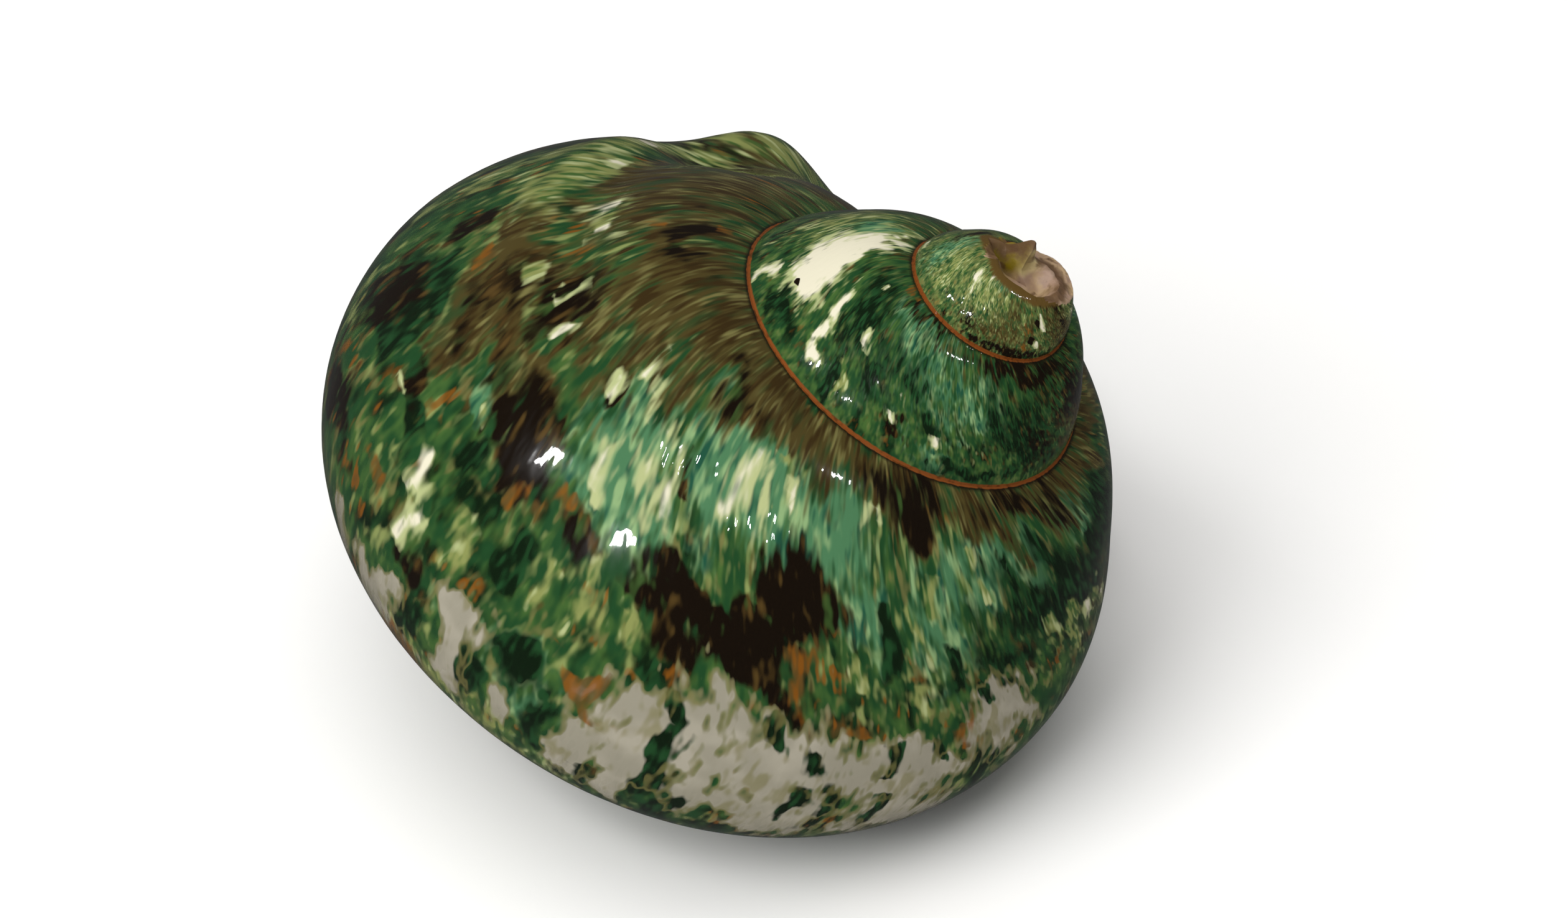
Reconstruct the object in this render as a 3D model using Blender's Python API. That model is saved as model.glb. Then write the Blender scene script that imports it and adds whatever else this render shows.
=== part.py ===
"""A polished green turban shell, lying on its mouth, as one closed and hollow solid.

The shell grows by a logarithmic spiral. Every cut through the coiling axis shows the same
section, and each turn is EXPANSION times the size of the turn before it. A place on the wall
is given by its turn (about 0 at the mouth, -1 one turn earlier) and by its angle around the
section (0 faces away from the axis, 90 degrees faces the tip).

Frame: metres, +Z up, z = 0 is the plane of the mouth's rim, on which the shell lies. The
origin is under the middle of the shell.
"""
import functools
import math

import bmesh
import bpy
from mathutils import Matrix, Vector

# The coil: the radius at the mouth, in metres, and what goes with it at that radius of 1
WHORL_RADIUS = 0.0277
EXPANSION = 2.275
CENTRE_DEPTH = 2.322
START_AZIMUTH = math.radians(55.3)

# The section: a circle with a cosine and a sine wave for its oval, its three soft corners
# and its flattened sides
SECTION_SIZE = 0.999
SECTION_WAVES = {2: (-0.155, -0.117), 3: (0.051, -0.005), 4: (0.006, 0.015)}

# The last turn climbs a little, and has a hollow ramp below the suture and a soft shoulder
CLIMB = 0.221
CLIMB_START, CLIMB_LENGTH = -1.2, 0.9
RAMP_DEPTH = 0.145
RAMP_ANGLE, RAMP_WIDTH = math.radians(42), math.radians(22)
SHOULDER_HEIGHT = 0.022
SHOULDER_ANGLE, SHOULDER_WIDTH = math.radians(48), math.radians(22)
RAMP_START, RAMP_LENGTH = -0.75, 0.7

# Low knobs on the shoulder before the mouth, and the dips beside them:
# turn, angle, height, and half widths along the turn and around the section
KNOBS = (
    (-0.176, math.radians(52), -0.060, 0.025, math.radians(22)),
    (-0.132, math.radians(50), 0.085, 0.028, math.radians(16)),
    (-0.078, math.radians(62), -0.095, 0.035, math.radians(26)),
    (-0.010, math.radians(52), 0.070, 0.035, math.radians(18)),
)

# The base runs in to the axis, so the shell has no navel
BASE_ANGLE = math.radians(-100)
COLUMELLA_ANGLE = math.radians(-150)
BASE_LIFT = 0.30

# The mouth's plane against the coiling axis, and the shell's turn about the vertical
MOUTH_TILT = math.radians(53)
MOUTH_AZIMUTH = math.radians(76)
MOUTH_REACH = 1.862
VIEW_TURN = math.radians(65.9)
FOOT_X, FOOT_Y = 0.02598, -0.02040

# The lip's top leaves the mouth's plane, and the growth lines start to lean before it
PLANE_ANGLE = math.radians(30)
RIM_STEP = math.radians(5)
RIM_RUN_ON = 0.5
LEAN_START = 0.3

# Wall and hollow
WALL = 0.115
LEAST_HOLLOW = 0.2
PARIETAL_ANGLE = math.radians(85)
CALLUS = 0.04
PARIETAL_SETBACK = 0.03
HOLLOW_TURNS = 1.25
HOLLOW_TAPER = 0.12

# The broken tip: a notched edge around a shallow hollow
TIP_NOTCHES = 5
TIP_NOTCH = math.radians(28)
TIP_EDGE = 0.35
TIP_DEPTH = 0.0012

# Facets
ROWS_PER_TURN = 48
SPIRE_ROWS = 110
SPIRE_COLUMNS = 8
BODY_COLUMNS = 28
AXIS_STEPS = 6
RIM_COLUMNS = 2 * BODY_COLUMNS + AXIS_STEPS - SPIRE_COLUMNS
HOLLOW_ROWS = 30
WELD = 0.00002

# Where the suture, the rim and the end of the last turn are looked for
HALVINGS = 40
SUTURE_SPAN = math.radians(60), math.radians(115)
RIM_SPAN = -0.45, 0.25
LAST_TURN_SPAN = -0.1, 0.4


def ease(x):
    """Go smoothly from 0 to 1 as x does."""
    x = min(max(x, 0.0), 1.0)
    return x * x * (3 - 2 * x)


def bell(x, width):
    """A smooth bump of height 1 at x = 0."""
    return math.exp(-(x / width) ** 2)


def mix(a, b, share):
    """The value at a share of the way from a to b."""
    return a + (b - a) * share


def solve(low, high, holds):
    """Halve the span until it closes on the value up to which holds(x) is true."""
    for _ in range(HALVINGS):
        middle = (low + high) / 2
        if holds(middle):
            low = middle
        else:
            high = middle
    return low


def wall_radius(turn, angle):
    """Distance from the whorl's centre to its outside, as a share of the turn's radius."""
    waves = sum(c * math.cos(n * angle) + s * math.sin(n * angle) for n, (c, s) in SECTION_WAVES.items())
    ramp = RAMP_DEPTH * ease((angle - RAMP_ANGLE) / RAMP_WIDTH)
    shoulder = SHOULDER_HEIGHT * bell(angle - SHOULDER_ANGLE, SHOULDER_WIDTH)
    knobs = sum(height * bell(turn - at, length) * bell(angle - around, width)
                for at, around, height, length, width in KNOBS)
    return SECTION_SIZE * (1 + waves) + ease((turn - RAMP_START) / RAMP_LENGTH) * (shoulder - ramp) + knobs


def centre_depth(turn):
    """How far the whorl's centre lies below the tip, as a share of the turn's radius."""
    return CENTRE_DEPTH - CLIMB * ease((turn - CLIMB_START) / CLIMB_LENGTH)


def outside(turn, angle):
    """Distance from the axis and depth below the tip of the outer surface."""
    wall = wall_radius(turn, angle)
    inward = ease((BASE_ANGLE - angle) / (BASE_ANGLE - COLUMELLA_ANGLE))
    radius = (1 + wall * math.cos(angle)) * (1 - inward)
    return radius, centre_depth(turn) - wall * math.sin(angle) + BASE_LIFT * inward


def gap_to_earlier_whorl(turn, radius, depth):
    """Angle around the whorl one turn earlier, and how far outside that whorl a point lies."""
    across = radius * EXPANSION - 1
    up = centre_depth(turn - 1) - depth * EXPANSION
    around = math.atan2(up, across)
    return around, math.hypot(across, up) - wall_radius(turn - 1, around)


def hollow(turn, angle, size=1.0):
    """Distance from the axis and depth below the tip of the inner surface."""
    def at(wall):
        return 1 + wall * math.cos(angle), centre_depth(turn) - wall * math.sin(angle)

    share = (angle - PARIETAL_ANGLE) / (COLUMELLA_ANGLE + 2 * math.pi - PARIETAL_ANGLE)
    if 0 < share < 1:
        wall = mix(wall_radius(turn, PARIETAL_ANGLE), wall_radius(turn, COLUMELLA_ANGLE), share) - WALL
        wall = solve(LEAST_HOLLOW, wall, lambda w: gap_to_earlier_whorl(turn, *at(w))[1] > CALLUS * EXPANSION)
    else:
        wall = wall_radius(turn, angle) - WALL
    return at(size * wall)


def mouth_frame():
    """The rotation from the coil's own frame, with its tip up, to the mouth facing down."""
    up = Vector((
        -math.cos(MOUTH_TILT) * math.sin(MOUTH_AZIMUTH),
        math.cos(MOUTH_TILT) * math.cos(MOUTH_AZIMUTH),
        math.sin(MOUTH_TILT),
    ))
    along = Vector((math.cos(MOUTH_AZIMUTH), math.sin(MOUTH_AZIMUTH), 0))
    return Matrix.Rotation(VIEW_TURN, 3, "Z") @ Matrix((along, up.cross(along), up))


COIL_TO_WORLD = mouth_frame()
FOOT = Vector((FOOT_X, FOOT_Y, MOUTH_REACH * WHORL_RADIUS))


def place(turn, radius, depth):
    """World position of a point at a distance from the axis and a depth below the tip."""
    azimuth = START_AZIMUTH - 2 * math.pi * turn
    coil = Vector((radius * math.cos(azimuth), radius * math.sin(azimuth), -depth))
    return COIL_TO_WORLD @ coil * (WHORL_RADIUS * EXPANSION ** turn) + FOOT


@functools.cache
def suture(turn):
    """Angle of the suture above a whorl, on that whorl and on the one before it."""
    def outside_earlier_whorl(angle):
        return gap_to_earlier_whorl(turn, *outside(turn, angle))[1] > 0

    angle = solve(*SUTURE_SPAN, outside_earlier_whorl)
    return angle, gap_to_earlier_whorl(turn, *outside(turn, angle))[0]


@functools.cache
def rim_turn(surface, angle):
    """Turn at which a surface meets the mouth's plane, and past PLANE_ANGLE the curve's run-on."""
    if angle > PLANE_ANGLE:
        slope = (rim_turn(surface, PLANE_ANGLE) - rim_turn(surface, PLANE_ANGLE - RIM_STEP)) / RIM_STEP
        return rim_turn(surface, PLANE_ANGLE) + RIM_RUN_ON * slope * (angle - PLANE_ANGLE)
    return solve(*RIM_SPAN, lambda turn: place(turn, *surface(turn, angle)).z > 0)


LAST_TURN = solve(*LAST_TURN_SPAN, lambda turn: rim_turn(outside, suture(turn)[0]) > turn)
BODY_TOP, SPIRE_FOOT = suture(LAST_TURN)


def spire_point(row, column):
    """A point of the turns above the last one; the first of them starts at the broken edge."""
    turn = LAST_TURN - 1 - (SPIRE_ROWS - row) / ROWS_PER_TURN
    top = suture(turn)[0]
    if row < ROWS_PER_TURN:
        top -= TIP_NOTCH * abs(math.sin(math.pi * TIP_NOTCHES * row / ROWS_PER_TURN))
    angle = mix(top, suture(turn + 1)[1], column / SPIRE_COLUMNS)
    return place(turn, *outside(turn, angle))


def body_angle(top, column):
    """Angle of a column of the last turn, from the suture over the base to the axis."""
    if column <= SPIRE_COLUMNS:
        return mix(top, SPIRE_FOOT, column / SPIRE_COLUMNS)
    return mix(SPIRE_FOOT, COLUMELLA_ANGLE, (column - SPIRE_COLUMNS) / (BODY_COLUMNS - SPIRE_COLUMNS))


def body_point(row, column):
    """A point of the last turn; its growth lines lean until they lie in the mouth's plane."""
    if column == BODY_COLUMNS:
        rows_per_step = ROWS_PER_TURN // AXIS_STEPS
        row = row // rows_per_step * rows_per_step
    share = row / ROWS_PER_TURN
    turn = LAST_TURN - 1 + share
    angle = body_angle(suture(turn)[0], column)
    if column > 0:
        turn += (rim_turn(outside, angle) - LAST_TURN) * ease((share - LEAN_START) / (1 - LEAN_START))
    return place(turn, *outside(turn, angle))


@functools.cache
def hollow_start(column):
    """Turn and angle where a column of the hollow starts: round the lip, then up the inner side."""
    if column <= BODY_COLUMNS:
        angle = body_angle(BODY_TOP, column)
        return rim_turn(hollow, angle), angle
    share = (column - BODY_COLUMNS) / (RIM_COLUMNS - BODY_COLUMNS)
    angle = mix(COLUMELLA_ANGLE + 2 * math.pi, BODY_TOP, share)
    inner_end = LAST_TURN - PARIETAL_SETBACK
    return solve(RIM_SPAN[0], inner_end, lambda turn: place(turn, *hollow(turn, angle)).z > 0), angle


def hollow_point(row, column):
    """A point of the inner surface, from the mouth to the rounded end of the hollow."""
    start, angle = hollow_start(column % RIM_COLUMNS)
    share = row / HOLLOW_ROWS
    turn = mix(start, LAST_TURN - HOLLOW_TURNS, share)
    past = max(0, share - 1 + HOLLOW_TAPER) / HOLLOW_TAPER
    return place(turn, *hollow(turn, angle, math.sqrt(1 - past ** 2)))


def lip_point(row, column):
    """A point of the rim: row 0 is its outer edge, which runs back up the axis, row 1 its inner edge."""
    if row == 1:
        return hollow_point(0, column)
    if column <= BODY_COLUMNS:
        return body_point(ROWS_PER_TURN, column)
    back = column - BODY_COLUMNS
    if back <= AXIS_STEPS:
        return body_point(ROWS_PER_TURN - back * ROWS_PER_TURN // AXIS_STEPS, BODY_COLUMNS)
    return body_point(0, BODY_COLUMNS - (back - AXIS_STEPS))


def tip_point(row, column):
    """A point of the broken tip: row 0 is the break's edge, and the rows after it sink inside."""
    if column <= ROWS_PER_TURN:
        edge = spire_point(column, 0)
    else:
        edge = spire_point(0, SPIRE_COLUMNS - (column - ROWS_PER_TURN))
    middle = (spire_point(0, 0) + spire_point(ROWS_PER_TURN // 2, 0)) / 2
    down_the_axis = COIL_TO_WORLD @ Vector((0, 0, -TIP_DEPTH))
    inward, sunk = ((0, 0), (TIP_EDGE, 0.5), (1, 1))[row]
    return edge.lerp(middle, inward) + down_the_axis * sunk


def add_sheet(mesh, rows, columns, point):
    """Add a grid of faces and move each corner to point(row, column)."""
    sheet = bmesh.ops.create_grid(mesh, x_segments=rows, y_segments=columns, size=0.5)
    for vertex in sheet["verts"]:
        row = round((vertex.co.x + 0.5) * rows)
        column = round((vertex.co.y + 0.5) * columns)
        vertex.co = point(row, column)


def build_shell():
    """Join the sheets of the shell into one closed mesh."""
    mesh = bmesh.new()
    add_sheet(mesh, SPIRE_ROWS, SPIRE_COLUMNS, spire_point)
    add_sheet(mesh, ROWS_PER_TURN, BODY_COLUMNS, body_point)
    add_sheet(mesh, HOLLOW_ROWS, RIM_COLUMNS, hollow_point)
    add_sheet(mesh, 1, RIM_COLUMNS, lip_point)
    add_sheet(mesh, 2, ROWS_PER_TURN + SPIRE_COLUMNS, tip_point)
    bmesh.ops.remove_doubles(mesh, verts=mesh.verts, dist=WELD)
    bmesh.ops.dissolve_degenerate(mesh, edges=mesh.edges, dist=WELD)
    bmesh.ops.triangulate(mesh, faces=mesh.faces)
    bmesh.ops.recalc_face_normals(mesh, faces=mesh.faces)
    return mesh


def shell_material():
    """Polished shell: mostly green over pale nacre."""
    material = bpy.data.materials.new("polished_shell")
    material.use_nodes = True
    shader = material.node_tree.nodes["Principled BSDF"]
    shader.inputs["Base Color"].default_value = (0.08, 0.19, 0.11, 1)
    shader.inputs["Roughness"].default_value = 0.18
    shader.inputs["Metallic"].default_value = 0.0
    return material


def main():
    """Build the shell in a collection of its own."""
    for old in list(bpy.data.objects):
        bpy.data.objects.remove(old)
    collection = bpy.data.collections.new("turban_shell")
    bpy.context.scene.collection.children.link(collection)
    bm = build_shell()
    mesh = bpy.data.meshes.new("shell")
    bm.to_mesh(mesh)
    bm.free()
    mesh.shade_smooth()
    mesh.set_sharp_from_angle(angle=math.radians(40))
    mesh.materials.append(shell_material())
    collection.objects.link(bpy.data.objects.new("shell", mesh))


main()
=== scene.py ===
"""A polished green turban shell, lying on its mouth: its fine surface, colours, floor and light.

The shell is a flat sheet of turns and angles that Geometry Nodes roll up into the coil. Its
markings are patches placed by turn and angle, and noise that follows the growth lines.
Lengths are in metres unless a name says otherwise.
"""
import logging
import math
from dataclasses import dataclass, field, fields
from enum import Enum
from typing import Callable, Optional, Sequence, Union

import bpy
import numpy as np
from mathutils import Matrix, Vector


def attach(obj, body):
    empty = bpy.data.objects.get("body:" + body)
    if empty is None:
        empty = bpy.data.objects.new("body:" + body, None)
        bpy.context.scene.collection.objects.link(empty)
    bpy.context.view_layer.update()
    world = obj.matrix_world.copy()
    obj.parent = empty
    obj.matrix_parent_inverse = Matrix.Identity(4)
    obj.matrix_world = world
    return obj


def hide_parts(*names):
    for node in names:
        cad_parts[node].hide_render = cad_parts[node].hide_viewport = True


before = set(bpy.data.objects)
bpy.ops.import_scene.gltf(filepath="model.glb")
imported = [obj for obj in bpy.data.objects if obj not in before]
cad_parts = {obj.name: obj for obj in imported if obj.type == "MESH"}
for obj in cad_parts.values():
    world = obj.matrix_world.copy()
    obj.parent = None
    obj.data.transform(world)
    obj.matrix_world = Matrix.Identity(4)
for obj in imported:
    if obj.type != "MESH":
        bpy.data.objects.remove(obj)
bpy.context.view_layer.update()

Array = np.ndarray
Value = Union[float, Array, "Number"]


def hex_colour(code: str) -> tuple[float, float, float, float]:
    """Turn an sRGB hex colour into the linear colour that shaders take.

    Args:
        code: Six hex digits, such as "1f6b4a".

    Returns:
        Linear red, green and blue, and an alpha of 1.
    """
    srgb = [int(code[i:i + 2], 16) / 255 for i in (0, 2, 4)]
    linear = [c / 12.92 if c <= 0.04045 else ((c + 0.055) / 1.055) ** 2.4 for c in srgb]
    return (*linear, 1.0)


def add_node(
    tree: bpy.types.NodeTree, kind: str, inputs: Optional[dict] = None, **settings: object,
) -> bpy.types.Node:
    """Add a node with its settings, and set or link its inputs.

    Args:
        tree: The node tree that gets the node.
        kind: The node's type name.
        inputs: What goes into each socket, by name or index: a value, a socket or a Number.
        settings: The node's own properties.

    Returns:
        The new node.
    """
    node = tree.nodes.new(kind)
    for name, value in settings.items():
        setattr(node, name, value)
    for key, value in (inputs or {}).items():
        if isinstance(value, Number):
            value = value.socket
        if isinstance(value, bpy.types.NodeSocket):
            tree.links.new(value, node.inputs[key])
        else:
            node.inputs[key].default_value = value
    return node


class Number:
    """A number in a node tree. Arithmetic on it adds Math nodes."""

    __array_ufunc__ = None

    def __init__(self, tree: bpy.types.NodeTree, socket: bpy.types.NodeSocket) -> None:
        """Wrap a socket that gives a number."""
        self.tree = tree
        self.socket = socket

    def math(self, operation: str, *others: Value, first: bool = True) -> "Number":
        """Add one Math node.

        Args:
            operation: The node's operation.
            others: The node's other inputs.
            first: Whether this number is the first input, and not the second.

        Returns:
            The node's result.
        """
        inputs = [self, *others] if first else [others[0], self]
        sockets = {i: v if isinstance(v, Number) else float(v) for i, v in enumerate(inputs)}
        node = add_node(self.tree, "ShaderNodeMath", sockets, operation=operation)
        return Number(self.tree, node.outputs[0])

    def rise(self, low: float, high: float) -> "Number":
        """Go smoothly from 0 at low to 1 at high."""
        inputs = {"Value": self, "From Min": low, "From Max": high}
        node = add_node(self.tree, "ShaderNodeMapRange", inputs, interpolation_type="SMOOTHSTEP")
        return Number(self.tree, node.outputs["Result"])

    def __add__(self, other: Value) -> "Number":
        """Add."""
        return self.math("ADD", other)

    def __mul__(self, other: Value) -> "Number":
        """Multiply."""
        return self.math("MULTIPLY", other)

    def __sub__(self, other: Value) -> "Number":
        """Subtract."""
        return self.math("SUBTRACT", other)

    def __rsub__(self, other: Value) -> "Number":
        """Subtract this number from a plain one."""
        return self.math("SUBTRACT", other, first=False)

    def __truediv__(self, other: Value) -> "Number":
        """Divide."""
        return self.math("DIVIDE", other)

    def __neg__(self) -> "Number":
        """Turn the sign round."""
        return self.math("MULTIPLY", -1)

    __radd__ = __add__
    __rmul__ = __mul__


def cosine(x: Value) -> Value:
    """The cosine, of plain numbers or in a node tree."""
    return x.math("COSINE") if isinstance(x, Number) else np.cos(x)


def sine(x: Value) -> Value:
    """The sine, of plain numbers or in a node tree."""
    return x.math("SINE") if isinstance(x, Number) else np.sin(x)


def power(base: Value, x: Value) -> Value:
    """A power with a changing exponent, of plain numbers or in a node tree."""
    return base.math("POWER", x) if isinstance(base, Number) else base ** x


def bell(x: Value, width: float) -> Value:
    """A smooth bump of height 1 at x = 0."""
    square = (x / width) * (x / width)
    return power_of_e(-square)


def power_of_e(x: Value) -> Value:
    """e to the power x, of plain numbers or in a node tree."""
    return x.math("EXPONENT") if isinstance(x, Number) else np.exp(x)


def rise(x: Value, low: float, high: float) -> Value:
    """Go smoothly from 0 at low to 1 at high, of plain numbers or in a node tree."""
    if isinstance(x, Number):
        return x.rise(low, high)
    share = np.clip((x - low) / (high - low), 0, 1)
    return share * share * (3 - 2 * share)


def mix(a: Value, b: Value, share: Value) -> Value:
    """The value at a share of the way from a to b."""
    return a + (b - a) * share


def solve(low: Value, high: Value, holds: Callable[[Array], Array], halvings: int = 36) -> Array:
    """Close on the values up to which a condition holds.

    Args:
        low: Where it holds.
        high: Where it doesn't.
        holds: The condition, on an array.
        halvings: How many times the span is halved.

    Returns:
        The last values found to hold.
    """
    low, high = np.broadcast_arrays(np.asarray(low, float), np.asarray(high, float))
    for _ in range(halvings):
        middle = (low + high) / 2
        good = holds(middle)
        low = np.where(good, middle, low)
        high = np.where(good, high, middle)
    return low


def degrees(x: float) -> float:
    """An angle given in degrees, in radians."""
    return math.radians(x)


# The section's form, as cosine and sine parts of the waves round it.
SECTION_WAVES = {2: (-0.155, -0.117), 3: (0.051, -0.005), 4: (0.006, 0.015)}
# The knobs' turn, angle, height, and half sizes along and around.
KNOBS = (
    (-0.176, degrees(52), -0.060, 0.025, degrees(22)),
    (-0.132, degrees(50), 0.085, 0.028, degrees(16)),
    (-0.078, degrees(62), -0.095, 0.035, degrees(26)),
    (-0.010, degrees(52), 0.070, 0.035, degrees(18)),
)
BASE_ANGLE, COLUMELLA_ANGLE = degrees(-100), degrees(-150)

# Where the hollow ramp, its shoulder and the whorl's climb set in.
RAMP_ANGLES = (degrees(42), degrees(64))
RAMP_TURNS = (-0.75, -0.05)
SHOULDER_ANGLE, SHOULDER_WIDTH = degrees(48), degrees(22)
CLIMB_TURNS = (-1.2, -0.3)

# The coil's place: where turn 0 lies, the mouth's plane and the shell's foot on the floor.
START_AZIMUTH = degrees(55.3)
MOUTH_TILT, MOUTH_AZIMUTH = degrees(53), degrees(76)
MOUTH_REACH = 1.862
VIEW_TURN = degrees(65.9)
FOOT_X, FOOT_Y = 0.02598, -0.02040

# Between these the solver looks for the suture and for the turn where it meets the lip.
SUTURE_ANGLES = (degrees(60), degrees(115))
MEETING_TURNS = (-0.1, 0.4)

# The last turn's size in millimetres, which gives the markings their scale.
MM_PER_TURN, MM_PER_RADIAN = 220.0, 18.4
FAR_MM = 50.0

# How the growth lines lean and bend on their way to the suture, in turns.
LINE_LEAN, LINE_BEND = 0.015, 0.028


@dataclass(frozen=True)
class Coil:
    """The rule that the shell grows by. Its methods take plain numbers, arrays or Numbers."""

    whorl_radius: Value = 0.0277
    growth: Value = 2.275
    centre_depth: Value = 2.322
    section_size: Value = 0.999
    climb: Value = 0.221
    ramp_depth: Value = 0.145
    shoulder_height: Value = 0.022
    base_lift: Value = 0.30

    def wall_radius(self, turn: Value, angle: Value) -> Value:
        """Distance from the whorl's centre to its outside, as a share of the turn's radius."""
        waves = 0.0
        for n, (c, s) in SECTION_WAVES.items():
            waves = waves + cosine(angle * n) * c + sine(angle * n) * s
        ramp = rise(angle, *RAMP_ANGLES) * self.ramp_depth
        shoulder = bell(angle - SHOULDER_ANGLE, SHOULDER_WIDTH) * self.shoulder_height
        wall = (waves + 1) * self.section_size + rise(turn, *RAMP_TURNS) * (shoulder - ramp)
        for at, around, height, length, width in KNOBS:
            wall = wall + bell(turn - at, length) * bell(angle - around, width) * height
        return wall

    def depth(self, turn: Value) -> Value:
        """How far the whorl's centre lies below the tip, as a share of the turn's radius."""
        return self.centre_depth - rise(turn, *CLIMB_TURNS) * self.climb

    def point(self, turn: Value, angle: Value, wall: Value, gather: Value = 0.0) -> tuple:
        """A place in the coil's own frame, with the tip at the origin.

        Args:
            turn: The turn, about 0 at the mouth.
            angle: The angle around the section, 0 away from the axis and 90 degrees to the tip.
            wall: Distance from the whorl's centre.
            gather: How far the place is drawn in to the axis, from 0 to 1.

        Returns:
            x, y and z in metres.
        """
        size = power(self.growth, turn) * self.whorl_radius
        azimuth = START_AZIMUTH - turn * (2 * math.pi)
        radius = (cosine(angle) * wall + 1) * (1 - gather) * size
        depth = (self.depth(turn) - sine(angle) * wall + gather * self.base_lift) * size
        return radius * cosine(azimuth), radius * sine(azimuth), -depth


SHELL = Coil()


def coil_to_world() -> Matrix:
    """The turn from the coil's own frame, with its tip up, to the mouth facing down."""
    up = Vector((
        -math.cos(MOUTH_TILT) * math.sin(MOUTH_AZIMUTH),
        math.cos(MOUTH_TILT) * math.cos(MOUTH_AZIMUTH),
        math.sin(MOUTH_TILT),
    ))
    along = Vector((math.cos(MOUTH_AZIMUTH), math.sin(MOUTH_AZIMUTH), 0))
    return Matrix.Rotation(VIEW_TURN, 3, "Z") @ Matrix((along, up.cross(along), up))


TURN_OVER = coil_to_world()
FOOT = Vector((FOOT_X, FOOT_Y, MOUTH_REACH * SHELL.whorl_radius))


def gather_of(angle: Array) -> Array:
    """How far the base is drawn in to the axis, from 0 to 1."""
    return rise(-angle, -BASE_ANGLE, -COLUMELLA_ANGLE)


def height(turn: Array, angle: Array, wall: Array, gather: Array = 0.0) -> Array:
    """Height of a place on the coil above the surface that the shell lies on."""
    x, y, z = SHELL.point(turn, angle, wall, gather)
    row = TURN_OVER[2]
    return row[0] * x + row[1] * y + row[2] * z + FOOT.z


def gap_to_earlier_whorl(turn: Array, angle: Array, wall: Array) -> tuple[Array, Array]:
    """Angle around the whorl one turn earlier, and how far outside it a place lies."""
    across = (1 + wall * np.cos(angle)) * SHELL.growth - 1
    up = SHELL.depth(turn - 1) - (SHELL.depth(turn) - wall * np.sin(angle)) * SHELL.growth
    around = np.arctan2(up, across)
    return around, np.hypot(across, up) - SHELL.wall_radius(turn - 1, around)


def suture(turn: Array) -> tuple[Array, Array]:
    """Angle of the suture above a whorl, on that whorl and on the one before it."""
    def is_outside(angle: Array) -> Array:
        return gap_to_earlier_whorl(turn, angle, SHELL.wall_radius(turn, angle))[1] > 0

    angle = solve(np.full_like(turn, SUTURE_ANGLES[0]), SUTURE_ANGLES[1], is_outside)
    return angle, gap_to_earlier_whorl(turn, angle, SHELL.wall_radius(turn, angle))[0]


@dataclass(frozen=True)
class Wall:
    """The wall's thickness, its hollow and the lip."""

    thickness: float = 0.115
    least_hollow: float = 0.2
    parietal_angle: float = degrees(85)
    callus: float = 0.04
    setback: float = 0.03
    turns: float = 1.25
    taper: float = 0.12
    lip_round: float = 0.0009
    plane_angle: float = degrees(30)
    rim_step: float = degrees(5)
    run_on: float = 0.5
    rim_turns: tuple[float, float] = (-0.45, 0.25)

    def hollow_wall(self, turn: Array, angle: Array) -> Array:
        """Distance from the whorl's centre to the inner surface."""
        turn, angle = np.broadcast_arrays(turn, angle)
        plain = SHELL.wall_radius(turn, angle) - self.thickness
        share = (angle - self.parietal_angle) / (COLUMELLA_ANGLE + 2 * math.pi - self.parietal_angle)
        start = SHELL.wall_radius(turn, self.parietal_angle)
        end = SHELL.wall_radius(turn, COLUMELLA_ANGLE)
        across = mix(start, end, share) - self.thickness

        def clears(wall: Array) -> Array:
            return gap_to_earlier_whorl(turn, angle, wall)[1] > self.callus * SHELL.growth

        inner = solve(np.full_like(across, self.least_hollow), across, clears)
        return np.where((share > 0) & (share < 1), inner, plain)

    def rim_turn(self, angle: Array, inside: bool = False) -> Array:
        """Turn at which a surface meets the mouth's plane, and past plane_angle its run-on.

        Args:
            angle: The angles around the section.
            inside: Whether it is the hollow's surface, which starts above the plane.

        Returns:
            The turn at each angle.
        """
        def above(at: Array) -> Callable:
            if inside:
                return lambda turn: height(turn, at, self.hollow_wall(turn, at)) > self.lip_round
            return lambda turn: height(turn, at, SHELL.wall_radius(turn, at), gather_of(at)) > 0

        low, high = self.rim_turns
        angle = np.asarray(angle, float)
        flat = solve(np.full_like(angle, low), high, above(np.minimum(angle, self.plane_angle)))
        ends = np.array([self.plane_angle, self.plane_angle - self.rim_step])
        last, before = solve(np.full(2, low), high, above(ends))
        slope = (last - before) / self.rim_step
        return flat + self.run_on * slope * np.maximum(angle - self.plane_angle, 0)


WALL = Wall()


def find_last_turn() -> float:
    """The turn at which the suture reaches the lip."""
    def before_lip(turn: Array) -> Array:
        return WALL.rim_turn(suture(turn)[0]) > turn

    low, high = MEETING_TURNS
    return float(solve(np.array([low]), high, before_lip)[0])


LAST_TURN = find_last_turn()
BODY_TOP, SPIRE_FOOT = (float(a[0]) for a in suture(np.array([LAST_TURN])))


class Finish(Enum):
    """What a face of the shell shows."""

    POLISHED = 0
    LINING = 1
    LIP = 2
    BROKEN = 3


class Layer(Enum):
    """A colour that lies over the green, in the order of painting."""

    TEAL = 0
    OLIVE = 1
    DARK = 2
    NACRE = 3
    LIME = 4
    CREAM = 5
    ORANGE = 6
    PIT = 7
    BLACK_GREEN = 8


def growth_line(turn: Value, angle: Value) -> Value:
    """The turn at which the growth line through a place meets the angle 0."""
    upper = angle.math("MAXIMUM", 0) if isinstance(angle, Number) else np.maximum(angle, 0)
    return turn - angle * LINE_LEAN - upper * upper * LINE_BEND


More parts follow.
